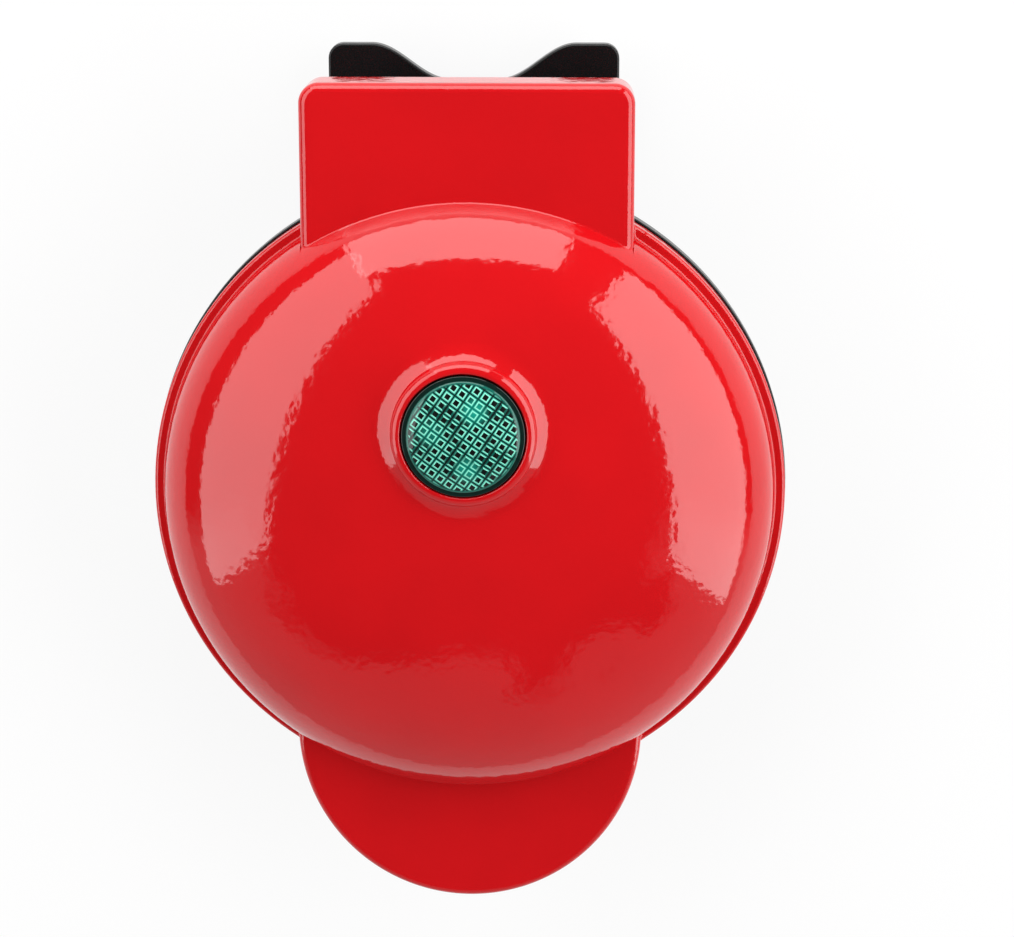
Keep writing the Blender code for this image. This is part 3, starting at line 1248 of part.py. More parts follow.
def lid_leads():
    """Wires from the hinge to the upper element, and from the element's ends to the lamp holder."""
    end = face_level(LID_SIDE, HEATER_END_DEPTH) + SEAT_GAP
    gap = LEAD_SPACING
    crimp = HEATER_TUBE_RADIUS - LEAD_RADIUS - SEAT_GAP
    over = face_level(LID_SIDE, PAN_DEPTH + PAN_SHEET) + gap
    slot = RIM_RADIUS - LID_WALL
    for label, sign in (("left", 1), ("right", -1)):
        place = heater_end(sign)
        x = -sign * LEAD_X
        rear = place[1] + crimp
        lead(
            f"lid_lead_{label}", (place[0], rear, end), (place[0], rear, end + gap / 2),
            (place[0], rear + gap, end + gap / 2), (x, POCKET_RADIUS + LINER_WALL / 2, over),
            (x, POCKET_RADIUS + gap + gap, HINGE_Z + gap + gap / 2),
            (x, slot, HINGE_Z + gap), (x, LEAD_BEND_Y, HINGE_Z + gap),
            (x, LEAD_BEND_Y, HINGE_Z + LEAD_RADIUS),
        )
        near = Vector((place[0], place[1] - crimp))
        across = Vector((0, LENS_OFFSET)) - near
        reach = across.length - HOLDER_RADIUS - SEAT_GAP
        bend = LAMP_LEAD_BEND
        turn = arc((bend, end + LAMP_LEAD_RISE), (bend, bend), math.pi, math.pi / 2, CORNER_POINTS)
        route = [(0, end), *turn, (reach, end + LAMP_LEAD_RISE + bend)]
        across.normalize()
        places = [(*(near + across * along), height) for along, height in route]
        tube(f"lamp_lead_{label}", places, LEAD_RADIUS, "glass_fibre_sleeve")


def hang_lid(pieces):
    """Parent the lid's pieces to an empty on the hinge axis, without moving them."""
    axis = bpy.data.objects.new("lid_axis", None)
    axis.empty_display_type = "SINGLE_ARROW"
    axis.location = (0, HINGE_Y, HINGE_Z)
    parts.objects.link(axis)
    for piece in pieces:
        piece.parent = axis
        piece.matrix_parent_inverse = Matrix.Translation((0, -HINGE_Y, -HINGE_Z))


clear_scene()
parts = new_collection("mini_donut_maker")
cutters = new_collection("cutters")
cutters.hide_render = True

bore = pin_bore()

base_housing()
base_liner(bore)
baking_plate("lower_donut_plate", BASE_SIDE)
heating_element("lower_heating_element", BASE_SIDE)
reflector_pan("lower_reflector_pan", BASE_SIDE)
thermostat()
thermal_fuse()
fuse_clip()
terminal_block()
inlet_bush()
wrap_plate()
hinge_pin()
pin_clips()
feet()
base_leads()
pan_back = PAN_DEPTH + PAN_SHEET + SEAT_GAP
plate_grip = pan_back - BOSS_DEPTH + PLATE_SCREW_GRIP - SIDE_GAP
case_grip = CASE_FLANGE + CASE_SCREW_GRIP - SIDE_GAP
screws("lower_plate_screw", PLATE_SCREWS, face_level(BASE_SIDE, pan_back), LID_SIDE, plate_grip)
screws("base_screw", CASE_SCREWS, PILLAR_END - SEAT_GAP - CASE_FLANGE - SEAT_GAP, LID_SIDE, case_grip)
wrap_grip = NECK_BOTTOM + WRAP_SCREW_GRIP - WRAP_SEAT
screws("cord_wrap_screw", WRAP_SCREWS, WRAP_SEAT - SEAT_GAP, LID_SIDE, wrap_grip)
base_pieces = len(parts.objects)

lid_cover()
lid_liner(bore)
baking_plate("upper_donut_plate", LID_SIDE)
heating_element("upper_heating_element", LID_SIDE)
reflector_pan("upper_reflector_pan", LID_SIDE)
indicator_lens()
lens_retainer()
lamp_and_holder()
lid_leads()
screws("upper_plate_screw", PLATE_SCREWS, face_level(LID_SIDE, pan_back), BASE_SIDE, plate_grip)
lid_seat = SKIRT_BOTTOM + LID_BOSS_RISE - CASE_FLANGE - SEAT_GAP
screws("lid_screw", CASE_SCREWS, lid_seat, LID_SIDE, case_grip)
hang_lid(parts.objects[base_pieces:])
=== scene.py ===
"""Looks of the mini donut maker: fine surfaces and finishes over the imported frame, and a small studio.

Metres, +Z up. The origin is under the centre of the disc, the handle points to -Y and the hinge
lies towards +Y.
"""

import functools
import json
import math

import bmesh
import bpy
import numpy as np
from bpy.props import FloatProperty, FloatVectorProperty, PointerProperty
from bpy.types import Operator, Panel, PropertyGroup
from mathutils import Matrix, Vector


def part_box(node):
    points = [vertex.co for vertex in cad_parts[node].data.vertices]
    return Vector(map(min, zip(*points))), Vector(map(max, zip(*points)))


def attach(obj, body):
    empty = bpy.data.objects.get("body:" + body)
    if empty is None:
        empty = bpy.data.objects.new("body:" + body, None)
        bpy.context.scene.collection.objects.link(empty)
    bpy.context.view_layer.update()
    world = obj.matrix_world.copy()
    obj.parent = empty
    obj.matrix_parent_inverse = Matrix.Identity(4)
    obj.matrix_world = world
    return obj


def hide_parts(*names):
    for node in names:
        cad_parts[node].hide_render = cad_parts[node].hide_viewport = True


bl_info = {
    "name": "Mini Donut Maker",
    "version": (1, 0, 0),
    "blender": (4, 5, 0),
    "location": "3D View > Sidebar > Donut Maker",
    "description": "Makes a hinged mini donut maker and its studio piece by piece",
    "category": "Add Mesh",
}

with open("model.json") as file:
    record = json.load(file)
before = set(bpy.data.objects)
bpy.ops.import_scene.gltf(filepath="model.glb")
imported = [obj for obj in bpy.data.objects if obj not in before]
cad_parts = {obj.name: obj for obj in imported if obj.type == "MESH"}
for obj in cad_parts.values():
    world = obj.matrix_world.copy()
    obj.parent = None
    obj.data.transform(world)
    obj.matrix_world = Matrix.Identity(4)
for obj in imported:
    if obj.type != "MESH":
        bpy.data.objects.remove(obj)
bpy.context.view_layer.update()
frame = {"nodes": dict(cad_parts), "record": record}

# Places read from the frame
LID_LOW, LID_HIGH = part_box("lid_cover")
BASE_LOW, BASE_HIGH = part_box("base_housing")
LENS_LOW, LENS_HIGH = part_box("indicator_lens")
WRAP_LOW, WRAP_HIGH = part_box("cord_wrap_plate")
PIN_LOW, PIN_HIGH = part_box("hinge_pin")
BUSH_LOW, BUSH_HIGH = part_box("cord_inlet_bush")
LENS_CENTRE = ((LENS_LOW.x + LENS_HIGH.x) / 2, (LENS_LOW.y + LENS_HIGH.y) / 2)

# How finely turned pieces are divided
ROUND_STEPS = 192
RING_STEPS = 96
RUBBER_STEPS = 64
SMALL_ROUND_STEPS = 48
SCREW_STEPS = 32
HOLE_STEPS = 24
ARC_POINTS = 28
HANDLE_POINTS = 65
FRONT_POINTS = 49
SADDLE_POINTS = 33
CORNER_POINTS = 9
LIP_POINTS = 7
FLOOR_POINTS = 3

WELD_DISTANCE = 0.000001
SEAT_GAP = 0.0003
CUT_OVERRUN = 0.001  # how far a cutter runs past a face
RIM_OVERRUN = 0.003  # and past the base's open top
SHARP_ANGLE = math.radians(38)
LENS_SHARP_ANGLE = math.radians(50)
MILLIMETRE = 0.001
WAVE_TURN = 20  # a wave texture's angle where place times scale is 1

# The lid's grid: circles that its rows and columns follow, and how finely it is divided
DOME_FULLNESS = 2.4  # exponent of the dome's superellipse
DOME_SINK = 0.0006  # the dome's last common ring lies this far above the block's top
COLLAR_RING = 0.020  # circle round the lens where the collar has run out into the dome
MIDDLE_RING = 0.045  # circle round the disc's centre where the morph from the collar ends
BEND_RING = 0.0585  # from here out, columns of the grid follow the walls of block and handle
LEAST_FILLET = 0.0003  # what is left of a fillet inside the wall
SIDE_START = 0.002  # from the rim to the next column of the block's side
TONGUE_START_STEPS = 1.6  # the same on the handle, in columns
LIP_TURN = math.radians(60)  # arc of the collar's outer edge
SHELL_ROWS = {
    "morph": 24, "dome": 22, "drop": 14, "cove": 6, "flat": 4, "rim": 7, "wall": 4, "skirt": 4,
    "flank": 20, "lip": 10, "seat": 12,
}
SHELL_COLUMNS = {"tongue": 64, "side": 64, "block_side": 22, "block_corner": 14, "block_rear": 40}
FILLET_SHARES = np.array([1, 0.85, 0.66, 0.48, 0.32, 0.19, 0.09, 0.03, 0])
COVE_SHARES = np.array([0.06, 0.2, 0.45, 0.75, 1])
TOP_SHARES = (0, 0.35, 0.7)

# Shapes of smaller pieces
FLARE_TURN = math.radians(84)  # arc of a ring cavity's lip
CROWN_POWER = 2.6  # how the lens's crown falls
HEAD_POWER = 2.2  # how a screw's head falls
DISH_SHARES = (0.55, 0.7)  # of a foot's radius, where its hollow ends and its flat starts

# The lens's prisms: turn of their rows in degrees, patches of painted reflection on them, and the
# bands (distance from a prism's middle, colour, factor) of a plain prism, one with painted shade on two
# sides, one with painted reflection, and of the dark ring (distance outwards) with a painted highlight
# ring
PRISM_TURN = 35
PRISM_RELIEF_MM = 0.12
PAINTED_REFLECTION_PATCHES = (((0.0022, 0.0053, 0), 1.0), ((0.0008, -0.0060, 0), 0.8), ((-0.0062, 0.001, 0), 0.5))
PAINTED_REFLECTION_RADII = (0.0030, 0.0012)  # from where a patch's painted reflection starts to where it is full
PRISM_BANDS = {
    "plain": (
        (0.46, "lens", 0.004), (0.53, "prism", 1), (0.70, "prism", 0.85),
        (0.77, "lens", 1), (0.85, "lens", 0.6), (0.91, "lens", 0.03),
    ),
    # Painted shade: a prism whose frame is dark on two sides
    "painted_shade": (
        (0.44, "lens", 0.01), (0.54, "lens", 0.45), (0.70, "lens", 0.3),
        (0.77, "lens", 0.15), (0.85, "lens", 0.1), (0.91, "lens", 0.01),
    ),
    # Painted reflection: a prism with a teal centre and brighter frame and valley
    "painted_reflection": (
        (0.44, "lens", 0.9), (0.53, "prism", 1), (0.70, "prism", 0.85),
        (0.77, "lens", 1.2), (0.85, "lens", 1), (0.93, "lens", 0.45),
    ),
    # Dark ring whose brighter band at 0.4 to 0.5 is a painted highlight ring
    "ring": (
        (0.0, "lens", 0.1), (0.3, "lens", 0.1), (0.4, "lens", 0.5),
        (0.5, "lens", 0.4), (0.58, "lens", 0.06), (1.0, "lens", 0.03),
    ),
}
PRISM_FIELD_EDGES = (0.0007, 0.0004)  # where the prisms run out, inside the dark ring
PRISM_RIM = 0.002  # from the lens's edge in to where the ring's bands start

# Softboxes: azimuth, half width, lower and upper edge, as angles in degrees. Each has the brightness
# of its name in the settings.
SOFTBOXES = {"left": (165.5, 44.5, 19, 57), "right": (8.5, 42.5, 9, 56), "rear": (94, 28, 1, 41)}
FLOOR_DROP = 0.0002  # floor below the feet
FLOOR_GLOW = 0.86  # how much of the floor's whiteness is there whatever light falls on it

# The pale wall in the surroundings: ramps, as (start, end) or (start, end, value, value)
WALL_AHEAD = (0.25, 0.4)  # of how far a ray points to the front
WALL_FADE = (0.76, 0.2, 0.6, 1.0)  # of its height: the wall is dimmer near its upper edge
WALL_TOP = (0.76, 0.70)  # of its height, moved by the noise
WALL_NOISE = (0.3, 0.7, -0.14, 0.14)  # of the noise that moves it
WALL_PATCH = 0.33  # size of the noise's patches, where a ray's length is 1

# Photograph: image size in pixels and the camera that took it
IMAGE_WIDTH = 1014
FOCAL_PIXELS = 2739.16
SENSOR_MM = 36.0
CAMERA_PLACE = Vector((0.021885, 0.141339, 0.5734))
CAMERA_BACK = Vector((0.0259, 0.2480, 0.9684))
CAMERA_CLIP = 0.01


def linear_colour(text):
    """The linear red, green and blue of an sRGB hex colour."""
    values = np.array(list(bytes.fromhex(text.lstrip("#")))) / 255
    low = values / 12.92
    high = ((values + 0.055) / 1.055) ** 2.4
    return tuple(float(value) for value in np.where(values <= 0.04045, low, high))


def length(name, value, note):
    """A property in metres."""
    return FloatProperty(name=name, description=note, default=value, min=0, unit="LENGTH", precision=5)


def brightness(name, value, note):
    """A property without a unit."""
    return FloatProperty(name=name, description=note, default=value, min=0)


def paint(name, hex_colour, note):
    """A colour property."""
    return FloatVectorProperty(
        name=name, description=note, default=linear_colour(hex_colour), subtype="COLOR", size=3,
        min=0, max=1,
    )


class LidSizes(PropertyGroup):
    wall: length("Wall", 0.0022, "Thickness of the red moulding")
    dome_rise: length("Dome rise", 0.025, "Top of the dome above the ledge")
    ledge_height: length("Ledge height", 0.0043, "Ledge above the lid's lower edge")
    ledge_width: length("Ledge width", 0.0023, "Flat ring round the foot of the dome")
    rim_fillet: length("Rim fillet", 0.0008, "Rounding of the rim's upper edge")
    cove: length("Cove", 0.0006, "Hollow rounding where two surfaces meet")
    block_half_width: length("Block half width", 0.03245, "Hinge block from the middle")
    block_rise: length("Block rise", 0.0075, "Hinge block's top above the ledge")
    block_corner: length("Block corner", 0.004, "Radius of its rear corners from above")
    block_fillet: length("Block fillet", 0.0018, "Rounding of its upper edges")
    tongue_half_width: length("Handle half width", 0.0352, "Handle from the middle")
    tongue_start: length("Handle start", 0.050, "Where the half ellipse starts")
    tongue_rise: length("Handle rise", 0.002, "Handle's top above the ledge")
    tongue_fillet: length("Handle fillet", 0.0014, "Rounding of its upper edge")


class LensSizes(PropertyGroup):
    collar_lip: length("Collar lip", 0.0019, "Top of the raised collar")
    collar_round: length("Collar rounding", 0.0018, "Rounding of the lip's outer edge")
    collar_rise: length("Collar rise", 0.0010, "Top of the sloping flank above the dome")
    collar_foot: length("Collar foot", 0.0037, "Width of the flank outside the lip")
    collar_step: length("Collar step", 0.0001, "From the lip out to the flank")
    lip_edge: length("Lip edge", 0.0004, "Rounding of the lip's inner edge")
    gap: length("Gap", 0.0003, "Open line between lens and collar")
    recess: length("Recess", 0.0027, "Seat of the lens below the collar's top")
    stem_hole: length("Stem hole", 0.009, "Radius of the hole under the lens")
    seat_depth: length("Seat depth", 0.0063, "Retaining ring's seat below the collar's top")
    seat_radius: length("Seat radius", 0.0156, "Radius of that seat, inside the lid")
    crown: length("Crown", 0.0022, "Rise of the lens above the collar")
    bezel: length("Bezel", 0.0009, "Dark ring round the prisms")
    bulge: length("Bulge", 0.0016, "Fall of the crown from its middle to that ring")
    groove: length("Groove", 0.0002, "Rounding of the step inside that ring")
    stem: length("Stem", 0.0087, "Radius of the hollow stem")
    stem_wall: length("Stem wall", 0.0018, "Thickness of the stem")
    prism_pitch: length("Prism pitch", 0.002, "Distance from one prism to the next")


class PlateSizes(PropertyGroup):
    thick: length("Thickness", 0.003, "Thickness of the cast disc")
    edge: length("Edge", 0.0005, "Rounding of the baking face's edge")
    ring_place: length("Ring place", 0.020, "Each ring's centre from both centre lines")
    ring_outside: length("Ring outside", 0.0185, "Outer radius of a ring cavity")
    ring_post: length("Ring post", 0.006, "Radius of the post in its middle")
    ring_depth: length("Ring depth", 0.0075, "Depth of half a donut")
    lip: length("Lip", 0.0007, "Rounding between face and ring")
    cup_wall: length("Cup wall", 0.0023, "Metal outside a ring")
    cup_depth: length("Cup depth", 0.010, "Back of the cups below the face")
    cup_fillet: length("Cup fillet", 0.0035, "Rounding of a cup's edge")
    boss_radius: length("Boss radius", 0.004, "Screw boss behind the plate")
    boss_depth: length("Boss depth", 0.0087, "End of a boss below the face")
    pilot_radius: length("Pilot radius", 0.0018, "Hole for a screw")
    pilot_depth: length("Pilot depth", 0.004, "Depth of that hole")


class BaseSizes(PropertyGroup):
    wall: length("Wall", 0.0022, "Thickness of the black moulding")
    flat_radius: length("Flat radius", 0.042, "Flat of the bowl's underside")
    bowl_top: length("Bowl top", 0.031, "Height of the bowl's widest ring")
    rim_overhang: length("Rim overhang", 0.0023, "Rim outside the bowl")
    rim_width: length("Rim width", 0.004, "Flat top of the rim")
    rim_fillet: length("Rim fillet", 0.0008, "Rounding of the rim's lower edge")
    edge: length("Edge", 0.0003, "Rounding of upper edges")
    liner_seat: length("Liner seat", 0.0334, "Height of the step that the liner lies on")
    tab_inset: length("Handle inset", 0.0017, "Base handle inside the lid's, from above")
    tab_depth: length("Handle depth", 0.006, "Height of the base's handle")
    tab_root: length("Handle root", 0.016, "Straight sides of the handle inside the bowl")
    tab_fillet: length("Handle fillet", 0.0014, "Rounding of its lower edge")
    tab_hollow_fillet: length("Handle hollow fillet", 0.0006, "Rounding inside that edge")
    neck_half_width: length("Neck half width", 0.029, "Hinge neck from the middle")
    neck_front: length("Neck front", 0.045, "Front of the neck, inside the bowl")
    neck_face: length("Neck face", 0.06628, "Rear of the neck's upper part")
    neck_corner: length("Neck corner", 0.0015, "Rounding of its upright edges")
    neck_fillet: length("Neck fillet", 0.0008, "Rounding of its level edges")
    neck_top_fillet: length("Neck top fillet", 0.0004, "Rounding of the upper part's edges")
    swing_gap: length("Swing gap", 0.0005, "Room under the block when the lid swings")
    well_radius: length("Well radius", 0.0028, "Screw well from below")
    well_wall: length("Well wall", 0.0014, "Plastic round a screw well")
    well_mouth: length("Well mouth", 0.0005, "How much wider a well is at its mouth")
    well_taper: length("Well taper", 0.004, "Height over which it narrows")
    well_joint: length("Well joint", 0.0232, "Height where the wells meet the liner's pillars")
    well_flange: length("Well flange", 0.003, "Plastic above a screw's head")
    hole_radius: length("Hole radius", 0.0018, "Hole for a screw")
    wrap_boss: length("Wrap boss", 0.0035, "Boss that a cord-wrap screw bites into")
    wrap_grip: length("Wrap grip", 0.007, "Depth of that boss")
    inlet_radius: length("Inlet radius", 0.0057, "Hole for the cord's bush")


class WrapSizes(PropertyGroup):
    edge: length("Edge", 0.0005, "Rounding of every edge")
    corner: length("Corner", 0.003, "Outer corner of a horn from above")
    horn_inner: length("Horn inner", 0.021, "Where a horn's straight tip ends")
    saddle: length("Saddle", 0.005, "Half width of the straight middle")
    saddle_depth: length("Saddle depth", 0.0074, "Middle in front of the tips")
    front_radius: length("Front radius", 0.05526, "Circle round the bowl")
    head_well: length("Head well", 0.0028, "Radius of the hole for a screw's head")
    flange: length("Flange", 0.0018, "Plastic above that head")
    hole: length("Hole", 0.0018, "Radius of the hole for a screw")


class RubberSizes(PropertyGroup):
    dish: length("Dish", 0.0004, "Depth of the hollow under a foot")
    dish_round: length("Dish rounding", 0.001, "Rounding of the hollow's corner")
    foot_fillet: length("Foot fillet", 0.0006, "Rounding of a foot's flat and side")
    foot_edge: length("Foot edge", 0.0004, "Rounding of the flat's outer edge")
    foot_bevel: length("Foot bevel", 0.0009, "Height of the slope round that edge")
    bore: length("Bore", 0.0041, "Inside of the bush")
    flange: length("Flange", 0.0016, "Thickness of the bush's flange")
    mouth: length("Mouth", 0.0008, "Rounding of the bore's mouth")
    rim: length("Rim", 0.0007, "Rounding of the flange's rim")
    edge: length("Edge", 0.0004, "Rounding of the bush's other edges")


class ScrewSizes(PropertyGroup):
    head: length("Head", 0.0025, "Radius of the head")
    head_height: length("Head height", 0.0018, "Height of the head")
    head_edge: length("Head edge", 0.0002, "Rounding of the head's seat")
    dome: length("Dome", 0.0006, "Rise of the head's dome")
    shank: length("Shank", 0.0015, "Radius over the thread")
    core: length("Core", 0.00122, "Radius between two turns")
    pitch: length("Pitch", 0.0006, "Distance between two turns")
    run_out: length("Run-out", 0.0004, "Plain stretch under the head")
    tip: length("Tip", 0.0008, "Length of the cone at the end")
    plain: length("Plain", 0.0014, "Length without thread: run-out, cone and a little room")
    drive: length("Drive", 0.0014, "Half length of the cross recess")
    slot: length("Slot", 0.0006, "Width of the cross recess")
    drive_depth: length("Drive depth", 0.0012, "Depth of the cross recess")


class FinishColours(PropertyGroup):
    red: paint("Red", "#C80F15", "Polished lid moulding")
    black: paint("Black", "#0E0D0E", "Base, liners and cord-wrap plate")
    coating: paint("Coating", "#2B2A2B", "Non-stick coating of the baking plates")
    lens: paint("Lens", "#109480", "Tinted lens")
    prism: paint("Prism", "#8CF0D4", "Bright edges of the lens's prisms")
    floor: paint("Floor", "#F4F4F4", "Studio floor")


class StudioSettings(PropertyGroup):
    floor_size: length("Floor size", 6.0, "Length of the floor's side")
    distance: length("Light distance", 0.8, "From the middle of the scene to a light")
    left: brightness("Left light", 2.6, "Brightness")
    right: brightness("Right light", 3.3, "Brightness")
    rear: brightness("Rear light", 3.4, "Brightness")
    wall: brightness("Front wall", 0.52, "Brightness of the pale wall in front")
    room: brightness("Room", 0.06, "Brightness of the rest")


def quads(rows, columns):
    """Corner numbers of the faces of a grid whose points are numbered row by row."""
    first = np.arange(rows - 1)[:, None] * columns + np.arange(columns - 1)[None, :]
    faces = np.stack([first, first + 1, first + columns + 1, first + columns], axis=-1)
    return faces.reshape(-1, 4)


def link_mesh(name, points, faces):
    """An object with a mesh of these points and faces."""
    mesh = bpy.data.meshes.new(name)
    mesh.from_pydata(points, [], faces)
    piece = bpy.data.objects.new(name, mesh)
    bpy.context.scene.collection.objects.link(piece)
    return piece


def solid(name, patches):
    """A closed solid from grids of points, each (rows, columns, 3), whose edges meet.

    Every grid gives rows x columns points and a face between each four neighbours. Points at one
    place are then merged, and the faces turned outwards.
    """
    points, faces, start = [], [], 0
    for patch in patches:
        rows, columns, _ = patch.shape
        points.append(patch.reshape(-1, 3))
        faces.append(quads(rows, columns) + start)
        start += rows * columns
    piece = link_mesh(name, np.concatenate(points), np.concatenate(faces))
    shape = bmesh.new()
    shape.from_mesh(piece.data)
    bmesh.ops.remove_doubles(shape, verts=shape.verts, dist=WELD_DISTANCE)
    bmesh.ops.dissolve_degenerate(shape, edges=shape.edges, dist=WELD_DISTANCE)
    bmesh.ops.recalc_face_normals(shape, faces=shape.faces)
    shape.to_mesh(piece.data)
    shape.free()
    return piece


def rounded(corners, count=5):
    """A line of points through corners (a, b, radius), each corner with a radius rounded by an arc.

    The arc touches both sides at radius / tan(half the corner's angle) from the corner, and its
    points stand at equal angles.
    """
    line = []
    places = np.array([corner[:2] for corner in corners], float)
    for number, (here, corner) in enumerate(zip(places, corners)):
        radius = corner[2] if len(corner) > 2 else 0
        if not radius or number in (0, len(corners) - 1):
            line.append(here)
            continue
        back = places[number - 1] - here
        on = places[number + 1] - here
        back = back / np.linalg.norm(back)
        on = on / np.linalg.norm(on)
        half = math.acos(np.clip(back @ on, -1, 1)) / 2
        centre = here + (back + on) / np.linalg.norm(back + on) * radius / math.sin(half)
        start = here + back * radius / math.tan(half) - centre
        end = here + on * radius / math.tan(half) - centre
        turn = math.atan2(start[0] * end[1] - start[1] * end[0], start @ end)
        angle = turn * np.linspace(0, 1, count)[:, None]
        line.extend(centre + start * np.cos(angle) + start[::-1] * (-1, 1) * np.sin(angle))
    return np.array(line)


def lathe(line, steps=ROUND_STEPS, centre=(0, 0), axis="Z"):
    """Grid of a turned surface: each (radius, along) point of a line carried round an axis.

    The axis stands at (x, y) = centre, or lies along Y through (x, z).
    """
    turn = np.linspace(0, 2 * math.pi, steps + 1)
    line = np.asarray(line)
    across = line[:, :1] * np.cos(turn) + centre[0]
    up = line[:, :1] * np.sin(turn) + centre[1]
    along = np.repeat(line[:, 1:2], steps + 1, axis=1)
    order = {"Z": (across, up, along), "Y": (across, along, up)}[axis]
    return np.stack(order, axis=-1)


def extruded(outline, normals, low, high, fillets, centre, steps=5):
    """Grid of a flat closed outline given a height, with its lower and upper edges rounded.

    A row is the outline moved in along its normals by a distance d, at a height that follows a
    quarter circle of the fillet. The first and last rows close on one centre point.
    """
    below, above = fillets
    sweep = 1 - np.sin(np.linspace(0, math.pi / 2, steps))
    rise = 1 - np.cos(np.linspace(0, math.pi / 2, steps))
    insets = np.concatenate([below * sweep, above * rise])
    heights = np.concatenate([low + below * rise, high - above * sweep])
    outline = np.concatenate([outline, outline[:1]])
    normals = np.concatenate([normals, normals[:1]])
    flat = outline - normals * insets[:, None, None]
    ends = np.broadcast_to(np.array(centre, float), (1, *outline.shape))
    flat = np.concatenate([ends, flat, ends])
    levels = np.array([low, *heights, high])[:, None, None] + 0 * flat[..., :1]
    return np.concatenate([flat, levels], axis=-1)


def outward_normals(outline):
    """Unit normals of a closed outline that runs anticlockwise, from the points before and after."""
    along = np.roll(outline, -1, axis=0) - np.roll(outline, 1, axis=0)
    normals = np.column_stack([along[:, 1], -along[:, 0]])
    return normals / np.linalg.norm(normals, axis=1, keepdims=True)


def slab(name, outline, low, high):
    """A solid from a flat closed outline of any shape: two flat faces and a wall of quads."""
    count = len(outline)
    points = np.vstack([at_level(outline, level) for level in (low, high)])
    ring = np.arange(count)
    walls = np.column_stack([ring, np.roll(ring, -1), np.roll(ring, -1) + count, ring + count])
    return link_mesh(name, points, [ring[::-1].tolist(), (ring + count).tolist(), *walls.tolist()])


def at_level(flat, level):
    """Points (x, y) given one height, or each its own."""
    return np.column_stack([flat, np.zeros(len(flat)) + level])


def block_solid(name, half_width, front, rear, low, high, corner, fillet):
    """A box across X whose upright corners and whose upper and lower edges are rounded."""
    outline = rounded([
        (0, front), (half_width, front, corner), (half_width, rear, corner),
        (-half_width, rear, corner), (-half_width, front, corner), (0, front),
    ])[:-1]
    normals, centre = outward_normals(outline), (0, (front + rear) / 2)
    return solid(name, [extruded(outline, normals, low, high, (fillet, fillet), centre)])


def pillars(name, places, line, steps=SMALL_ROUND_STEPS):
    """Turned solids side by side in one mesh: a (radius, height) line round each place."""
    return solid(name, [lathe(line, steps, place) for place in places])


def drilled(radius, low, high):
    """Line of a plain round hole or pin from one level to another."""
    return [(0, low), (radius, low), (radius, high), (0, high)]


def apply_modifiers(piece):
    """Put the result of a piece's modifiers into its mesh."""
    graph = bpy.context.evaluated_depsgraph_get()
    made = bpy.data.meshes.new_from_object(piece.evaluated_get(graph))
    old = piece.data
    piece.modifiers.clear()
    piece.data = made
    bpy.data.meshes.remove(old)
    made.name = piece.name


def combine(piece, operation, *tools):
    """Join tools to a piece, or cut them from it, by exact Booleans applied at once."""
    for tool in tools:
        change = piece.modifiers.new("change", "BOOLEAN")
        change.operation = operation
        change.solver = "EXACT"
        change.object = tool
        apply_modifiers(piece)
        shape = tool.data
        bpy.data.objects.remove(tool)
        bpy.data.meshes.remove(shape)
    return piece


def bevelled(piece, width, segments=3):
    """Round every edge sharper than 30 degrees."""
    made = piece.modifiers.new("edges", "BEVEL")
    made.width = width
    made.segments = segments
    made.limit_method = "ANGLE"
    made.use_clamp_overlap = False
    apply_modifiers(piece)
    return piece


def dress(piece, material, body, replaces, sharp=SHARP_ANGLE, weighted=True):
    """Shade a piece smooth between its sharp edges, give it its material and slot, and let it ride.

    Weighted normals keep the flat faces of a piece that Booleans cut looking flat.
    """
    piece.data.shade_smooth()
    piece.data.set_sharp_from_angle(angle=sharp)
    if weighted:
        piece.modifiers.new("weighing", "WEIGHTED_NORMAL").keep_sharp = True
        apply_modifiers(piece)
    piece.data.materials.clear()
    piece.data.materials.append(material)
    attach(piece, body)
    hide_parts(*replaces)


def middle(node):
    """X and Y of the middle of a node of the frame."""
    low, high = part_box(node)
    return (low.x + high.x) / 2, (low.y + high.y) / 2


def numbered(name, count):
    """Names of a group of like nodes."""
    return [f"{name}_{number + 1}" for number in range(count)]


def add_node(tree, kind, inputs=(), stops=(), **settings):
    """Add one shader node with its settings, the stops of its colour ramp and its links.

    Inputs are named in a dict, or listed in the order of the sockets that show. A node among them
    gives the first of its outputs that shows.
    """
    made = tree.nodes.new("ShaderNode" + kind)
    for name, value in settings.items():
        setattr(made, name, value)
    if stops:
        elements = made.color_ramp.elements
        while len(elements) < len(stops):
            elements.new(1)
        for element, (place, colour) in zip(elements, stops):
            element.position = place
            element.color = (*colour, 1)
    shown = [socket for socket in made.inputs if socket.enabled]
    for key, value in inputs.items() if isinstance(inputs, dict) else enumerate(inputs):
        socket = made.inputs[key] if isinstance(key, str) else shown[key]
        if isinstance(value, bpy.types.Node):
            value = next(output for output in value.outputs if output.enabled)
        if isinstance(value, bpy.types.NodeSocket):
            tree.links.new(value, socket)
        elif socket.type == "RGBA":
            socket.default_value = (*value, 1)
        else:
            socket.default_value = value
    return made


def per_metre(millimetres):
    """Scale of a pattern whose repeat is this many millimetres."""
    return 1 / (millimetres * MILLIMETRE)


def shade(colour, factor):
    """A colour made darker or brighter."""
    return tuple(channel * factor for channel in colour)


def finish(build):
    """Make a material of a function that adds a finish's nodes and returns its shader.

    The material is named for the function and is made once. The function gets the tree, the Object
    coordinates and what the caller passes on. All finishes take the colours, also those whose tones
    are their own, so that the frame's pieces can be given theirs in one way.
    """
    @functools.wraps(build)
    def make(*facts):
        made = bpy.data.materials.get(build.__name__)
        if not made:
            made = bpy.data.materials.new(build.__name__)
            made.use_nodes = True
            tree = made.node_tree
            tree.nodes.clear()
            place = add_node(tree, "TexCoord").outputs["Object"]
            add_node(tree, "OutputMaterial", {"Surface": build(tree, place, *facts)})
        return made
    return make


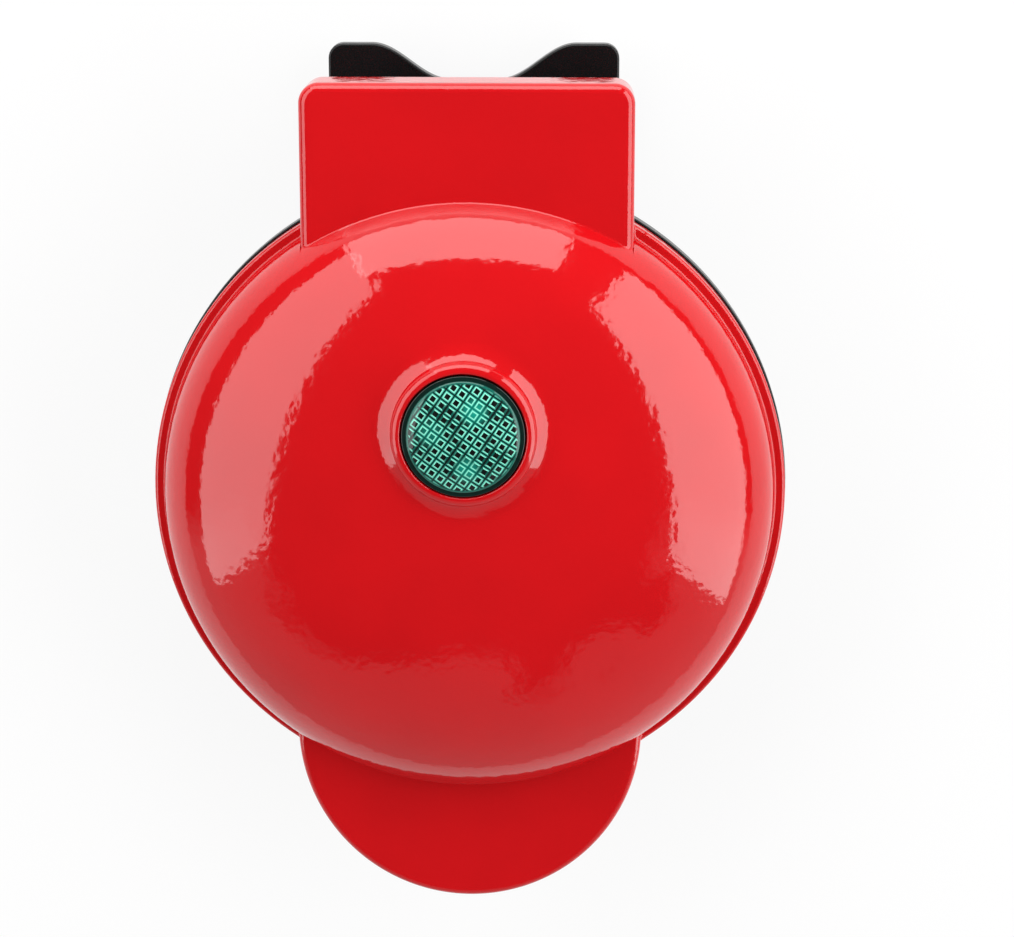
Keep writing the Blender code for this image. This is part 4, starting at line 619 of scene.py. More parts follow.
def mottled(tree, place, repeat_mm, first, second, low=0.3, high=0.7, detail=2.0):
    """Two colours in soft patches, the first below one value of a noise, the second above another."""
    noise = add_node(tree, "TexNoise", [place, per_metre(repeat_mm), detail])
    share = add_node(tree, "MapRange", [noise, low, high])
    return add_node(tree, "Mix", [share, first, second], data_type="RGBA")


def grained(tree, place, repeat_mm, depth_mm, roughness=(), detail=2.0, under=None):
    """Shader inputs: the relief of a noise, on top of another if given, and a roughness that follows."""
    noise = add_node(tree, "TexNoise", [place, per_metre(repeat_mm), detail])
    relief = {"Height": noise, "Distance": depth_mm * MILLIMETRE}
    if under:
        relief["Normal"] = under
    inputs = {"Normal": add_node(tree, "Bump", relief)}
    if roughness:
        inputs["Roughness"] = add_node(tree, "MapRange", [noise, 0.3, 0.7, *roughness])
    return inputs


@finish
def polished_red_abs(tree, place, colours):
    """ABS moulded in a polished tool: a deep red whose reflections have soft, wavy edges."""
    tones = shade(colours.red, 0.97), shade(colours.red, 1.03)
    waves = grained(tree, place, 2.0, 0.05, detail=1.5)["Normal"]
    return add_node(tree, "BsdfPrincipled", {
        "Base Color": mottled(tree, place, 22, *tones, 0.35, 0.65), "IOR": 1.6,
        **grained(tree, place, 0.35, 0.0012, (0.05, 0.09), under=waves),
    })


@finish
def grained_black_plastic(tree, place, colours):
    """Heat-resistant plastic moulded in a spark-eroded tool: fine matt grain with a dull sheen."""
    tones = shade(colours.black, 0.85), shade(colours.black, 1.2)
    return add_node(tree, "BsdfPrincipled", {
        "Base Color": mottled(tree, place, 14, *tones), "IOR": 1.5, "Specular IOR Level": 0.35,
        **grained(tree, place, 0.3, 0.002, (0.24, 0.34), 3.0),
    })


@finish
def nonstick_coating(tree, place, colours):
    """PTFE coating sprayed on cast aluminium: dark grey, with tiny bright flecks and a soft shine."""
    cells = add_node(tree, "TexVoronoi", [place, per_metre(0.35)])
    fleck = add_node(tree, "MapRange", [cells, 0.12, 0.06])
    rare = add_node(tree, "MapRange", [add_node(tree, "TexNoise", [place, per_metre(1.2)]), 0.55, 0.62])
    both = add_node(tree, "Math", [fleck, rare], operation="MULTIPLY")
    colour = add_node(tree, "Mix", [both, colours.coating, shade(colours.coating, 5)], data_type="RGBA")
    return add_node(tree, "BsdfPrincipled", {
        "Base Color": colour, "IOR": 1.38, **grained(tree, place, 0.6, 0.006, (0.3, 0.45), 3.0),
    })


@finish
def moulded_rubber(tree, place, colours):
    """Black rubber from a plain steel mould: almost no shine, slightly dusty."""
    tones = linear_colour("#151515"), linear_colour("#2A2928")
    return add_node(tree, "BsdfPrincipled", {
        "Base Color": mottled(tree, place, 2.5, *tones, 0.4, 0.75, 4.0), "Roughness": 0.78,
        "IOR": 1.52, **grained(tree, place, 0.25, 0.01),
    })


def metal(tree, place, tones, repeat_mm, roughness, depth_mm, stretch=(1, 1, 1)):
    """A metal whose tone, roughness and relief follow one noise, stretched along its rolling."""
    laid = add_node(tree, "Mapping", {"Vector": place, "Scale": stretch})
    return add_node(tree, "BsdfPrincipled", {
        "Base Color": mottled(tree, laid, repeat_mm, *map(linear_colour, tones), detail=4.0),
        "Metallic": 1.0, **grained(tree, laid, repeat_mm, depth_mm, roughness, 4.0),
    })


@finish
def zinc_plated_steel(tree, place, colours):
    """Zinc-plated steel: cool grey with faint cloudy spangle."""
    return metal(tree, place, ("#A2A5AA", "#BCBEC0"), 1.2, (0.24, 0.36), 0.002)


@finish
def aluminised_steel(tree, place, colours):
    """Aluminised sheet from the roll: bright, with streaks along the rolling direction."""
    return metal(tree, place, ("#ABADB0", "#CBCCCD"), 0.8, (0.26, 0.42), 0.003, (1, 0.06, 1))


@finish
def annealed_heater_steel(tree, place, colours):
    """Heater tube, oxidised by its anneal: brown-grey with straw-coloured patches."""
    return metal(tree, place, ("#5C544D", "#8A7F70"), 3.0, (0.36, 0.55), 0.006)


@finish
def steatite_ceramic(tree, place, colours):
    """Pressed steatite: off-white, faintly mottled and matt."""
    tones = linear_colour("#DDD9CE"), linear_colour("#ECE9E0")
    return add_node(tree, "BsdfPrincipled", {
        "Base Color": mottled(tree, place, 1.5, *tones, 0.35, 0.7, 4.0), "Roughness": 0.5,
        "IOR": 1.58, **grained(tree, place, 0.3, 0.008),
    })


@finish
def glass_fibre_braid(tree, place, colours):
    """Braided glass-fibre sleeve: pale straw bands that cross.

    Real yarns repeat after about 1 mm. They are drawn some six times as coarse, so that they show.
    """
    bands = 2 * math.pi / WAVE_TURN * per_metre(6.283)
    waves = []
    for turn in (math.radians(45), -math.radians(45)):
        laid = add_node(tree, "Mapping", {"Vector": place, "Rotation": (turn, turn, 0)})
        wave = add_node(tree, "TexWave", [laid, bands, 0.4])
        waves.append(wave.outputs["Fac"])
    height = add_node(tree, "Math", waves, operation="MAXIMUM")
    tones = linear_colour("#B5AC92"), linear_colour("#E0DAC8")
    return add_node(tree, "BsdfPrincipled", {
        "Base Color": add_node(tree, "Mix", [height, *tones], data_type="RGBA"), "Roughness": 0.75,
        "Sheen Weight": 0.3,
        "Normal": add_node(tree, "Bump", {"Height": height, "Distance": 0.08 * MILLIMETRE}),
    })


@finish
def lamp_glass(tree, place, colours):
    """Blown glass of a neon lamp over its warm electrodes: clear gloss on an amber core."""
    tones = linear_colour("#C98A5A"), linear_colour("#F0C9A0")
    return add_node(tree, "BsdfPrincipled", {
        "Base Color": mottled(tree, place, 2.0, *tones, 0.4, 0.6), "Roughness": 0.06,
        "IOR": 1.47, "Transmission Weight": 0.5,
    })


@finish
def moulded_lens(tree, place, colours, sizes):
    """Tinted acrylic over a field of moulded square prisms, under a smooth clear face.

    Each prism shows a black hole, a mint frame and a teal valley. In noise patches of painted shade
    only two sides of a frame are bright, in patches of painted reflection the prisms are lighter, the
    dark ring carries a painted highlight ring, and the face mirrors the softboxes as clear gloss.
    """
    stops = {
        name: [(at, shade(getattr(colours, tone), factor)) for at, tone, factor in bands]
        for name, bands in PRISM_BANDS.items()
    }
    centre = (-LENS_CENTRE[0], -LENS_CENTRE[1], 0)
    laid = add_node(tree, "VectorMath", [place, centre], operation="ADD")
    turned = add_node(tree, "Mapping", {
        "Vector": laid, "Rotation": (0, 0, math.radians(PRISM_TURN)),
        "Scale": (1 / sizes.prism_pitch, 1 / sizes.prism_pitch, 0),
    })
    parts = add_node(tree, "SeparateXYZ", [turned])
    sides = []
    for axis in ("X", "Y"):
        share = add_node(tree, "Math", [parts.outputs[axis]], operation="FRACT")
        centred = add_node(tree, "Math", [share, 0.5], operation="SUBTRACT")
        distance = add_node(tree, "Math", [centred], operation="ABSOLUTE")
        sides.append(add_node(tree, "Math", [distance, 2.0], operation="MULTIPLY"))
    square = add_node(tree, "Math", sides, operation="MAXIMUM")
    across = add_node(tree, "Math", sides, operation="GREATER_THAN")
    cloud = add_node(tree, "TexNoise", [laid, per_metre(7), 1.0])
    # Painted shade: in noise patches one pair of each frame's sides is darkened
    painted_shade_patches = add_node(tree, "MapRange", [cloud, 0.5, 0.4])
    painted_shade_share = add_node(tree, "Math", [across, painted_shade_patches], operation="MULTIPLY")
    plain, painted_shade, painted_reflection = (
        add_node(tree, "ValToRGB", [square], stops[name]) for name in ("plain", "painted_shade", "painted_reflection")
    )
    prisms = add_node(tree, "Mix", [painted_shade_share, plain, painted_shade], data_type="RGBA")
    level = add_node(tree, "VectorMath", [laid, (1, 1, 0)], operation="MULTIPLY")
    # Painted reflection: round each patch the prisms' colours blend into the brighter bands
    for spot, strength in PAINTED_REFLECTION_PATCHES:
        far = add_node(tree, "VectorMath", [level, spot], operation="DISTANCE")
        glow = add_node(tree, "MapRange", [far, *PAINTED_REFLECTION_RADII, 0, strength])
        prisms = add_node(tree, "Mix", [glow, prisms, painted_reflection], data_type="RGBA")
    radius = add_node(tree, "VectorMath", [level], operation="LENGTH")
    reach = LENS_HIGH.x
    field = [reach - sizes.bezel - edge for edge in PRISM_FIELD_EDGES]
    outside = add_node(tree, "MapRange", [radius, *field])
    outwards = add_node(tree, "MapRange", [radius, reach - PRISM_RIM, reach])
    # The ring's bands include a painted highlight ring, brighter than the dark ring round it
    rim = add_node(tree, "ValToRGB", [outwards], stops["ring"])
    hollow = add_node(tree, "Math", [1.0, square], operation="SUBTRACT")
    return add_node(tree, "BsdfPrincipled", {
        "Base Color": add_node(tree, "Mix", [outside, prisms, rim], data_type="RGBA"),
        "Roughness": 0.5, "IOR": 1.49, "Specular IOR Level": 0.1, "Coat Weight": 1.0,
        "Coat Roughness": 0.03,
        "Normal": add_node(tree, "Bump", {"Height": hollow, "Distance": PRISM_RELIEF_MM * MILLIMETRE}),
    })


@finish
def studio_paper(tree, place, colours):
    """Matt paper from the roll, with a faint fibre: nearly white to what looks at it directly."""
    fibre = add_node(tree, "TexNoise", [place, per_metre(3.0), 4.0])
    tones = shade(colours.floor, 0.985), colours.floor
    matt = add_node(tree, "BsdfDiffuse", [add_node(tree, "Mix", [fibre, *tones], data_type="RGBA")])
    glow = add_node(tree, "Emission", [(1, 1, 1), 1.0])
    path = add_node(tree, "LightPath")
    seen = path.outputs["Is Camera Ray"]
    for other in ("Is Glossy Ray", "Is Transmission Ray"):
        seen = add_node(tree, "Math", [seen, path.outputs[other]], operation="MAXIMUM")
    share = add_node(tree, "Math", [seen, FLOOR_GLOW], operation="MULTIPLY")
    return add_node(tree, "MixShader", [share, matt, glow])


FINISHES = {
    "black_moulding": grained_black_plastic,
    "nonstick_casting": nonstick_coating,
    "black_rubber": moulded_rubber,
    "heater_steel": annealed_heater_steel,
    "aluminised_sheet": aluminised_steel,
    "zinc_steel": zinc_plated_steel,
    "white_ceramic": steatite_ceramic,
    "glass_fibre_sleeve": glass_fibre_braid,
    "lamp_glass": lamp_glass,
}


def superellipse(angle, radius, rise):
    """Radius and height on the dome: radius x cos^(2/n), rise x sin^(2/n)."""
    share = 2 / DOME_FULLNESS
    return radius * np.cos(angle) ** share, rise * np.sin(angle) ** share


def from_lens(row):
    """Level unit vectors from the lens's axis to a row of points."""
    out = row[:, :2] - LENS_CENTRE
    return out / np.linalg.norm(out, axis=1, keepdims=True)


class LidShell:
    """Half of the lid's surface at X > 0, as grids whose rows run outwards and columns run round.

    The height along a column follows the dome, a hollow cove where the dome meets a level top
    (ledge, block or handle), and that top. A column beside the block's or the handle's wall keeps a
    fixed distance to it, and its top is lowered by the wall's rounded upper edge.
    """

    def __init__(self, sizes, inset):
        self.sizes = sizes
        self.inset = inset
        self.ledge = LID_LOW.z + sizes.ledge_height - inset
        self.rim = LID_HIGH.x - inset
        self.dome = LID_HIGH.x - sizes.ledge_width - inset
        self.tops = {"block": self.ledge + sizes.block_rise, "tongue": self.ledge + sizes.tongue_rise}
        self.fillets = {
            "block": max(sizes.block_fillet - inset, LEAST_FILLET),
            "tongue": max(sizes.tongue_fillet - inset, LEAST_FILLET),
        }
        self.rim_fillet = max(sizes.rim_fillet - inset, LEAST_FILLET)
        self.half_block = sizes.block_half_width - inset
        self.tongue = (sizes.tongue_half_width - inset, -LID_LOW.y - sizes.tongue_start - inset)

    def level_angle(self, height):
        """Angle on the superellipse where the dome has this height."""
        share = np.clip((height - self.ledge) / self.sizes.dome_rise, 1e-9, 1)
        return np.arcsin(share ** (DOME_FULLNESS / 2))

    def on_dome(self, place):
        """Points (x, y) with the dome's height."""
        radius = np.linalg.norm(place, axis=1)
        share = np.clip(1 - (radius / self.dome) ** DOME_FULLNESS, 0, 1)
        return at_level(place, self.ledge + self.sizes.dome_rise * share ** (1 / DOME_FULLNESS))

    def column(self, top, rounded_rim):
        """Radius and height down one kind of column, for an array of top levels.

        The cove's arc touches the dome, whose slope angle a there has tan a = rise / radius x
        (cos / sin)^(2 - 2/n), and the level top: its centre lies cove x tan(a / 2) outside the
        place where the two would meet.
        """
        def shares(part):
            return np.linspace(0, 1, SHELL_ROWS[part] + 1)[1:, None]

        top = np.atleast_1d(top)[None, :]
        cove, rise = self.sizes.cove, self.sizes.dome_rise
        crossing = self.level_angle(top)
        ratio = np.cos(crossing) / np.sin(crossing)
        slope = np.arctan(rise / self.dome * ratio ** (2 - 2 / DOME_FULLNESS))
        meet, _ = superellipse(crossing, self.dome, rise)
        first = np.arccos((MIDDLE_RING / self.dome) ** (DOME_FULLNESS / 2))
        common = self.level_angle(self.tops["block"] + DOME_SINK)
        touch = self.level_angle(top + cove * (1 - np.cos(slope)))
        down = first + (common - first) * np.linspace(0, 1, SHELL_ROWS["dome"])[:, None] + 0 * top
        angle = np.concatenate([down, common + (touch - common) * shares("drop")])
        radius, height = superellipse(angle, self.dome, rise)
        turn = slope * (1 - shares("cove"))
        foot = meet + cove * np.tan(slope / 2)
        edge = self.rim - self.rim_fillet
        round_turn = math.pi / 2 * shares("rim")
        drop = self.rim_fillet * (1 - np.cos(round_turn)) * rounded_rim
        radius = np.concatenate([
            radius, foot - cove * np.sin(turn), foot + (edge - foot) * shares("flat"),
            edge + self.rim_fillet * np.sin(round_turn) + 0 * top,
        ])
        height = np.concatenate([
            height + self.ledge, top + cove * (1 - np.cos(turn)), top + 0 * shares("flat"), top - drop,
        ])
        return radius, height

    def wall_x(self, zone, radius):
        """X of the block's or the handle's side wall where it crosses a circle round the origin.

        On the handle's half ellipse it is the root of x^2 + y^2 = radius^2.
        """
        if zone == "block":
            return np.full_like(radius, self.half_block)
        across, along = self.tongue
        start = self.sizes.tongue_start
        a = along**2 - across**2
        b = 2 * start * along
        c = across**2 + start**2 - radius**2
        share = (-b + np.sqrt(b**2 - 4 * a * c)) / (2 * a)
        return across * np.sqrt(1 - np.clip(share, 0, 1) ** 2)

    def bundle(self, zone):
        """Columns across one side wall, from the flat top inside it to the ledge outside it."""
        fillet, top, cove = self.fillets[zone], self.tops[zone], self.sizes.cove
        inside = fillet * FILLET_SHARES
        lowered = top - fillet + np.sqrt(fillet**2 - (fillet - inside) ** 2)
        radius_in, height_in = self.column(lowered, False)
        radius_out, height_out = self.column(self.ledge, True)
        walls = np.linspace(1, 0, SHELL_ROWS["wall"] + 1)[None, 1:]
        room = np.clip(height_in[:, -1:] - height_out, 0, None)
        size = np.minimum(cove, room / 2)
        foot = height_out + size
        rise = size * (1 - np.sqrt(1 - (1 - COVE_SHARES) ** 2))
        radius_wall = radius_out + (radius_in[:, -1:] - radius_out) * walls
        height_wall = foot + (height_in[:, -1:] - foot) * walls
        radius = np.hstack([radius_in, radius_wall, radius_out + 0 * rise])
        height = np.hstack([height_in, height_wall, height_out + rise])
        offset = np.concatenate([-inside, 0 * walls[0], cove * COVE_SHARES])
        bend = np.maximum(radius, BEND_RING)
        return radius, height, np.arccos((self.wall_x(zone, bend) + offset) / bend)

    def outline(self, zone, start_x):
        """Points and normals of the edge beyond the rim, from the rim to the middle."""
        count = SHELL_COLUMNS
        if zone == "tongue":
            across, along = self.tongue
            first = math.acos(start_x / across)
            later = np.linspace(TONGUE_START_STEPS / count["tongue"], 1, count["tongue"] - 1)
            angle = first + (math.pi / 2 - first) * np.array([0, *later])
            c, s = np.cos(angle), np.sin(angle)
            points = np.column_stack([across * c, -self.sizes.tongue_start - along * s])
            normals = np.column_stack([c / across, -s / along])
        else:
            half, rear = self.half_block, LID_HIGH.y - self.inset
            corner = max(self.sizes.block_corner - self.inset, self.sizes.block_fillet)
            low = math.sqrt(self.rim**2 - half**2)
            side_y = [low, *np.linspace(low + SIDE_START, rear - corner, count["block_side"])]
            turn = np.linspace(0, math.pi / 2, count["block_corner"] + 1)[1:]
            rear_x = (half - corner) * np.linspace(1, 0, count["block_rear"] + 1)[1:]
            side = np.column_stack([np.full(len(side_y), half), side_y])
            bend = np.column_stack([np.cos(turn), np.sin(turn)])
            back = np.column_stack([rear_x, np.full(len(rear_x), rear)])
            points = np.concatenate([side, bend * corner + (half - corner, rear - corner), back])
            normals = np.concatenate([side * 0 + (1, 0), bend, back * 0 + (0, 1)])
        return points, normals / np.linalg.norm(normals, axis=1, keepdims=True)

    def patches(self):
        """All grids of the half: the round part, its skirt, and the two parts beyond the rim."""
        tongue, block = self.bundle("tongue"), self.bundle("block")
        quarter = math.pi / 2
        tongue_count = SHELL_COLUMNS["tongue"]
        block_count = sum(SHELL_COLUMNS[key] for key in ("block_side", "block_corner", "block_rear")) + 1
        before = np.linspace(0, 1, tongue_count)[None, :-1]
        between = np.linspace(0, 1, SHELL_COLUMNS["side"])[None, 1:-1]
        after = np.linspace(0, 1, block_count)[None, 1:]
        tongue_in, tongue_out = tongue[2][:, :1], tongue[2][:, -1:]
        block_in, block_out = block[2][:, :1], block[2][:, -1:]
        parts = [
            (*self.column(self.tops["tongue"], False), -quarter + (quarter - tongue_in) * before),
            (tongue[0], tongue[1], -tongue[2]),
            (*self.column(self.ledge, True), -tongue_out + (block_out + tongue_out) * between),
            tuple(part[:, ::-1] for part in block),
            (*self.column(self.tops["block"], False), block_in + (quarter - block_in) * after),
        ]
        radius, height, angle = (
            np.hstack([np.broadcast_to(part[i], part[2].shape) for part in parts]) for i in range(3)
        )
        grid = np.stack([radius * np.cos(angle), radius * np.sin(angle), height], axis=-1)
        grid[:, (0, -1), 0] = 0
        row = grid[-1]
        wall_columns = len(FILLET_SHARES) + SHELL_ROWS["wall"] - 1
        tongue_end, block_start = tongue_count - 1, len(row) - block_count
        tongue_foot, block_foot = tongue_end + wall_columns, block_start - wall_columns
        skirt = self.drop(row[tongue_foot:block_foot + 1])
        tongue_wall, block_wall = row[tongue_end:tongue_foot + 1], row[block_foot:block_start + 1]
        beyond = [
            self.beyond("tongue", row[:tongue_count][::-1], tongue_wall),
            self.beyond("block", row[block_start:], block_wall[::-1]),
        ]
        return [grid, skirt, *beyond]

    def drop(self, row):
        """Vertical wall from a row of points down to the lid's lower edge."""
        down = np.linspace(0, 1, SHELL_ROWS["skirt"] + 1)[:, None]
        wall = np.repeat(row[None], len(down), axis=0)
        wall[..., 2] = row[:, 2] + (LID_LOW.z - row[:, 2]) * down
        return wall

    def beyond(self, zone, ring, first):
        """Top, rounded edge and wall of the block or the handle outside the rim.

        Its first column is the part of the rim row across the side wall. The others run straight
        from the rim row to the outline moved in by the fillet, then over the quarter circle.
        """
        fillet, top = self.fillets[zone], self.tops[zone]
        points, normals = self.outline(zone, first[len(FILLET_SHARES) - 1, 0])
        inner = points - normals * fillet
        inner[0] = ring[0, :2]
        rows = [at_level(ring[:, :2] + (inner - ring[:, :2]) * share, top) for share in TOP_SHARES]
        for number, place in enumerate(first):
            distance = fillet * FILLET_SHARES[min(number, len(FILLET_SHARES) - 1)]
            height = top - fillet + math.sqrt(fillet**2 - (fillet - distance) ** 2)
            row = at_level(points - normals * distance, height if distance else place[2])
            row[0] = place
            row[-1, 0] = 0
            rows.append(row)
        return np.concatenate([np.array(rows), self.drop(rows[-1])[1:]])

    def collar(self, grid_row, sizes):
        """Grid from the middle circle in to the collar, and down its recess and stem hole.

        A flank point's height is the dome's plus the collar's rise x (1 - t)^2, where t runs from 0
        at the lip to 1 at the flank's foot. The lip's outer edge is an arc of 60 degrees above it.
        """
        flat, direction = grid_row[:, :2], from_lens(grid_row)
        ring = LENS_CENTRE + direction * COLLAR_RING
        rows = [
            self.on_dome(flat + (ring - flat) * share)
            for share in np.linspace(0, 1, SHELL_ROWS["morph"])[1:]
        ]
        lip_in = LENS_HIGH.x + sizes.gap
        lip_out = lip_in + sizes.collar_lip
        for share in np.linspace(1, 0, SHELL_ROWS["flank"]):
            out = lip_out + sizes.collar_step + sizes.collar_foot * share
            row = self.on_dome(LENS_CENTRE + direction * out)
            row[:, 2] += sizes.collar_rise * (1 - share) ** 2
            rows.append(row)
        top, edge, curve, hole = LID_HIGH.z, sizes.lip_edge, sizes.collar_round, sizes.stem_hole
        turn = np.linspace(LIP_TURN, 0, SHELL_ROWS["lip"])
        inner = lip_out - curve * math.sin(LIP_TURN)
        lip = np.column_stack([inner + curve * np.sin(turn), top - curve * (1 - np.cos(turn))])
        recess = rounded([
            (inner, top), (lip_in, top, edge), (lip_in, top - sizes.recess, edge / 3),
            (hole, top - sizes.recess, edge / 3), (hole, top - sizes.seat_depth),
        ])
        for radius, height in (*lip, *recess[1:]):
            rows.append(at_level(LENS_CENTRE + direction * radius, height))
        return np.array([grid_row, *rows])

    def seat(self, grid_row, hole_row, sizes):
        """Inside of the same part: the flat seat of the lens's retaining ring and its round wall.

        The stem hole's row is the last row of the collar, so that both surfaces close there.
        """
        flat = grid_row[:, :2]
        ring = LENS_CENTRE + from_lens(grid_row) * sizes.seat_radius
        shares = np.linspace(0, 1, SHELL_ROWS["seat"])[1:]
        rows = [self.on_dome(flat + (ring - flat) * share) for share in shares]
        return np.array([grid_row, *rows, at_level(ring, LID_HIGH.z - sizes.seat_depth), hole_row])


class DONUTMAKER_OT_lid_cover(Operator):
    """Make the red lid moulding: dome, ledge, hinge block, handle and lens collar"""

    bl_idname = "donut_maker.lid_cover"
    bl_label = "Lid Cover"

    def execute(self, context):
        sizes = context.scene.donut_lid
        lens = context.scene.donut_lens
        outside = LidShell(sizes, 0.0)
        inside = LidShell(sizes, sizes.wall)
        outer, inner = outside.patches(), inside.patches()
        edges = [np.array([one[-1], other[-1]]) for one, other in zip(outer[1:], inner[1:])]
        collar = outside.collar(outer[0][0], lens)
        patches = [*outer, *inner, *edges, collar, inside.seat(inner[0][0], collar[-1], lens)]
        mirrored = [patch * (-1, 1, 1) for patch in patches]
        shell = solid("lid_shell", [*patches, *mirrored])
        material = polished_red_abs(context.scene.donut_colours)
        dress(shell, material, "lid", ["lid_cover"], weighted=False)
        return {"FINISHED"}


class DONUTMAKER_OT_lens(Operator):
    """Make the tinted lens: crown, the step inside its bezel, seat and hollow stem

    The crown falls from its middle by bulge x (r / edge)^2.6.
    """

    bl_idname = "donut_maker.lens"
    bl_label = "Indicator Lens"

    def execute(self, context):
        sizes = context.scene.donut_lens
        radius, groove = LENS_HIGH.x, sizes.groove
        shelf = LENS_HIGH.z - sizes.crown + groove
        foot = LID_HIGH.z - sizes.recess + sizes.gap
        inner = radius - sizes.bezel
        radii = (inner - groove) * np.sin(np.linspace(0, math.pi / 2, ARC_POINTS))
        crown = np.column_stack([radii, LENS_HIGH.z - sizes.bulge * (radii / inner) ** CROWN_POWER])
        bore = sizes.stem - sizes.stem_wall
        line = np.concatenate([crown[:-1], rounded([
            crown[-1], (inner, crown[-1, 1] - groove, groove), (inner, shelf), (radius, shelf, groove),
            (radius, foot, groove), (sizes.stem, foot), (sizes.stem, LENS_LOW.z), (bore, LENS_LOW.z),
            (bore, foot), (0, foot),
        ])])
        lens = solid("lens", [lathe(line, ROUND_STEPS, LENS_CENTRE)])
        material = moulded_lens(context.scene.donut_colours, sizes)
        dress(lens, material, "lid", ["indicator_lens"], LENS_SHARP_ANGLE)
        return {"FINISHED"}


class DONUTMAKER_OT_baking_plates(Operator):
    """Make both cast plates with their ring cavities, the cups behind them and four screw bosses"""

    bl_idname = "donut_maker.baking_plates"
    bl_label = "Baking Plates"

    def execute(self, context):
        material = nonstick_coating(context.scene.donut_colours)
        sizes = context.scene.donut_plates
        for body, name, side in (("base", "lower", -1), ("lid", "upper", 1)):
            low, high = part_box(f"{name}_donut_plate")
            face = high.z if side < 0 else low.z
            plate = self.plate(f"{name}_plate", sizes, high.x, face, side)
            dress(plate, material, body, [f"{name}_donut_plate"])
        return {"FINISHED"}

    def plate(self, name, sizes, reach, face, side):
        """Turned disc, joined to turned cups and bosses, less the rings and the screws' holes."""
        def level(line):
            return [(radius, face + side * depth) for radius, depth in line]

        edge, thick, place = sizes.edge, sizes.thick, sizes.ring_place
        disc = rounded([(0, 0), (reach, 0, edge), (reach, thick, edge / 2), (0, thick)])
        plate = solid(name, [lathe(level(disc))])
        inside = thick / 2
        outer = sizes.ring_outside + sizes.cup_wall
        deep = sizes.cup_depth
        corners = [(0, inside), (outer, inside), (outer, deep, sizes.cup_fillet), (0, deep)]
        cup = level(rounded(corners, count=8))
        bosses = [middle(node) for node in numbered("lower_plate_screw", 4)]
        boss = level(drilled(sizes.boss_radius, inside, sizes.boss_depth))
        for sign in (1, -1):
            pair = [(place, sign * place), (-place, -sign * place)]
            combine(plate, "UNION", pillars(f"{name}_cups", pair, cup, RING_STEPS))
        combine(plate, "UNION", pillars(f"{name}_bosses", bosses, boss))
        centres = [(x * place, y * place) for x in (1, -1) for y in (1, -1)]
        rings = pillars(f"{name}_rings", centres, level(self.ring(sizes)), RING_STEPS)
        end = sizes.boss_depth
        hole = drilled(sizes.pilot_radius, end - sizes.pilot_depth, end + inside)
        pilots = pillars(f"{name}_pilots", bosses, level(hole), HOLE_STEPS)
        return combine(plate, "DIFFERENCE", rings, pilots)

    def ring(self, sizes):
        """Closed section of one ring as (radius, depth) points.

        It is half an ellipse below the face, whose two lips flare out in quarter circles.
        """
        centre = (sizes.ring_outside + sizes.ring_post) / 2
        half = (sizes.ring_outside - sizes.ring_post) / 2
        lip = sizes.lip
        start = math.asin(lip / sizes.ring_depth)
        sweep = np.linspace(start, math.pi - start, ARC_POINTS)
        bowl = np.column_stack([centre + half * np.cos(sweep), sizes.ring_depth * np.sin(sweep)])
        edge = np.linspace(FLARE_TURN, 0, LIP_POINTS)
        wide = half * math.cos(start) + lip
        flare = np.column_stack([centre + wide - lip * np.cos(edge), lip - lip * np.sin(edge)])
        back = flare[::-1] * (-1, 1) + (2 * centre, 0)
        line = np.concatenate([flare, bowl[1:-1], back])
        first, last = (line[0, 0], -CUT_OVERRUN), (line[-1, 0], -CUT_OVERRUN)
        return [first, *line, last, first]


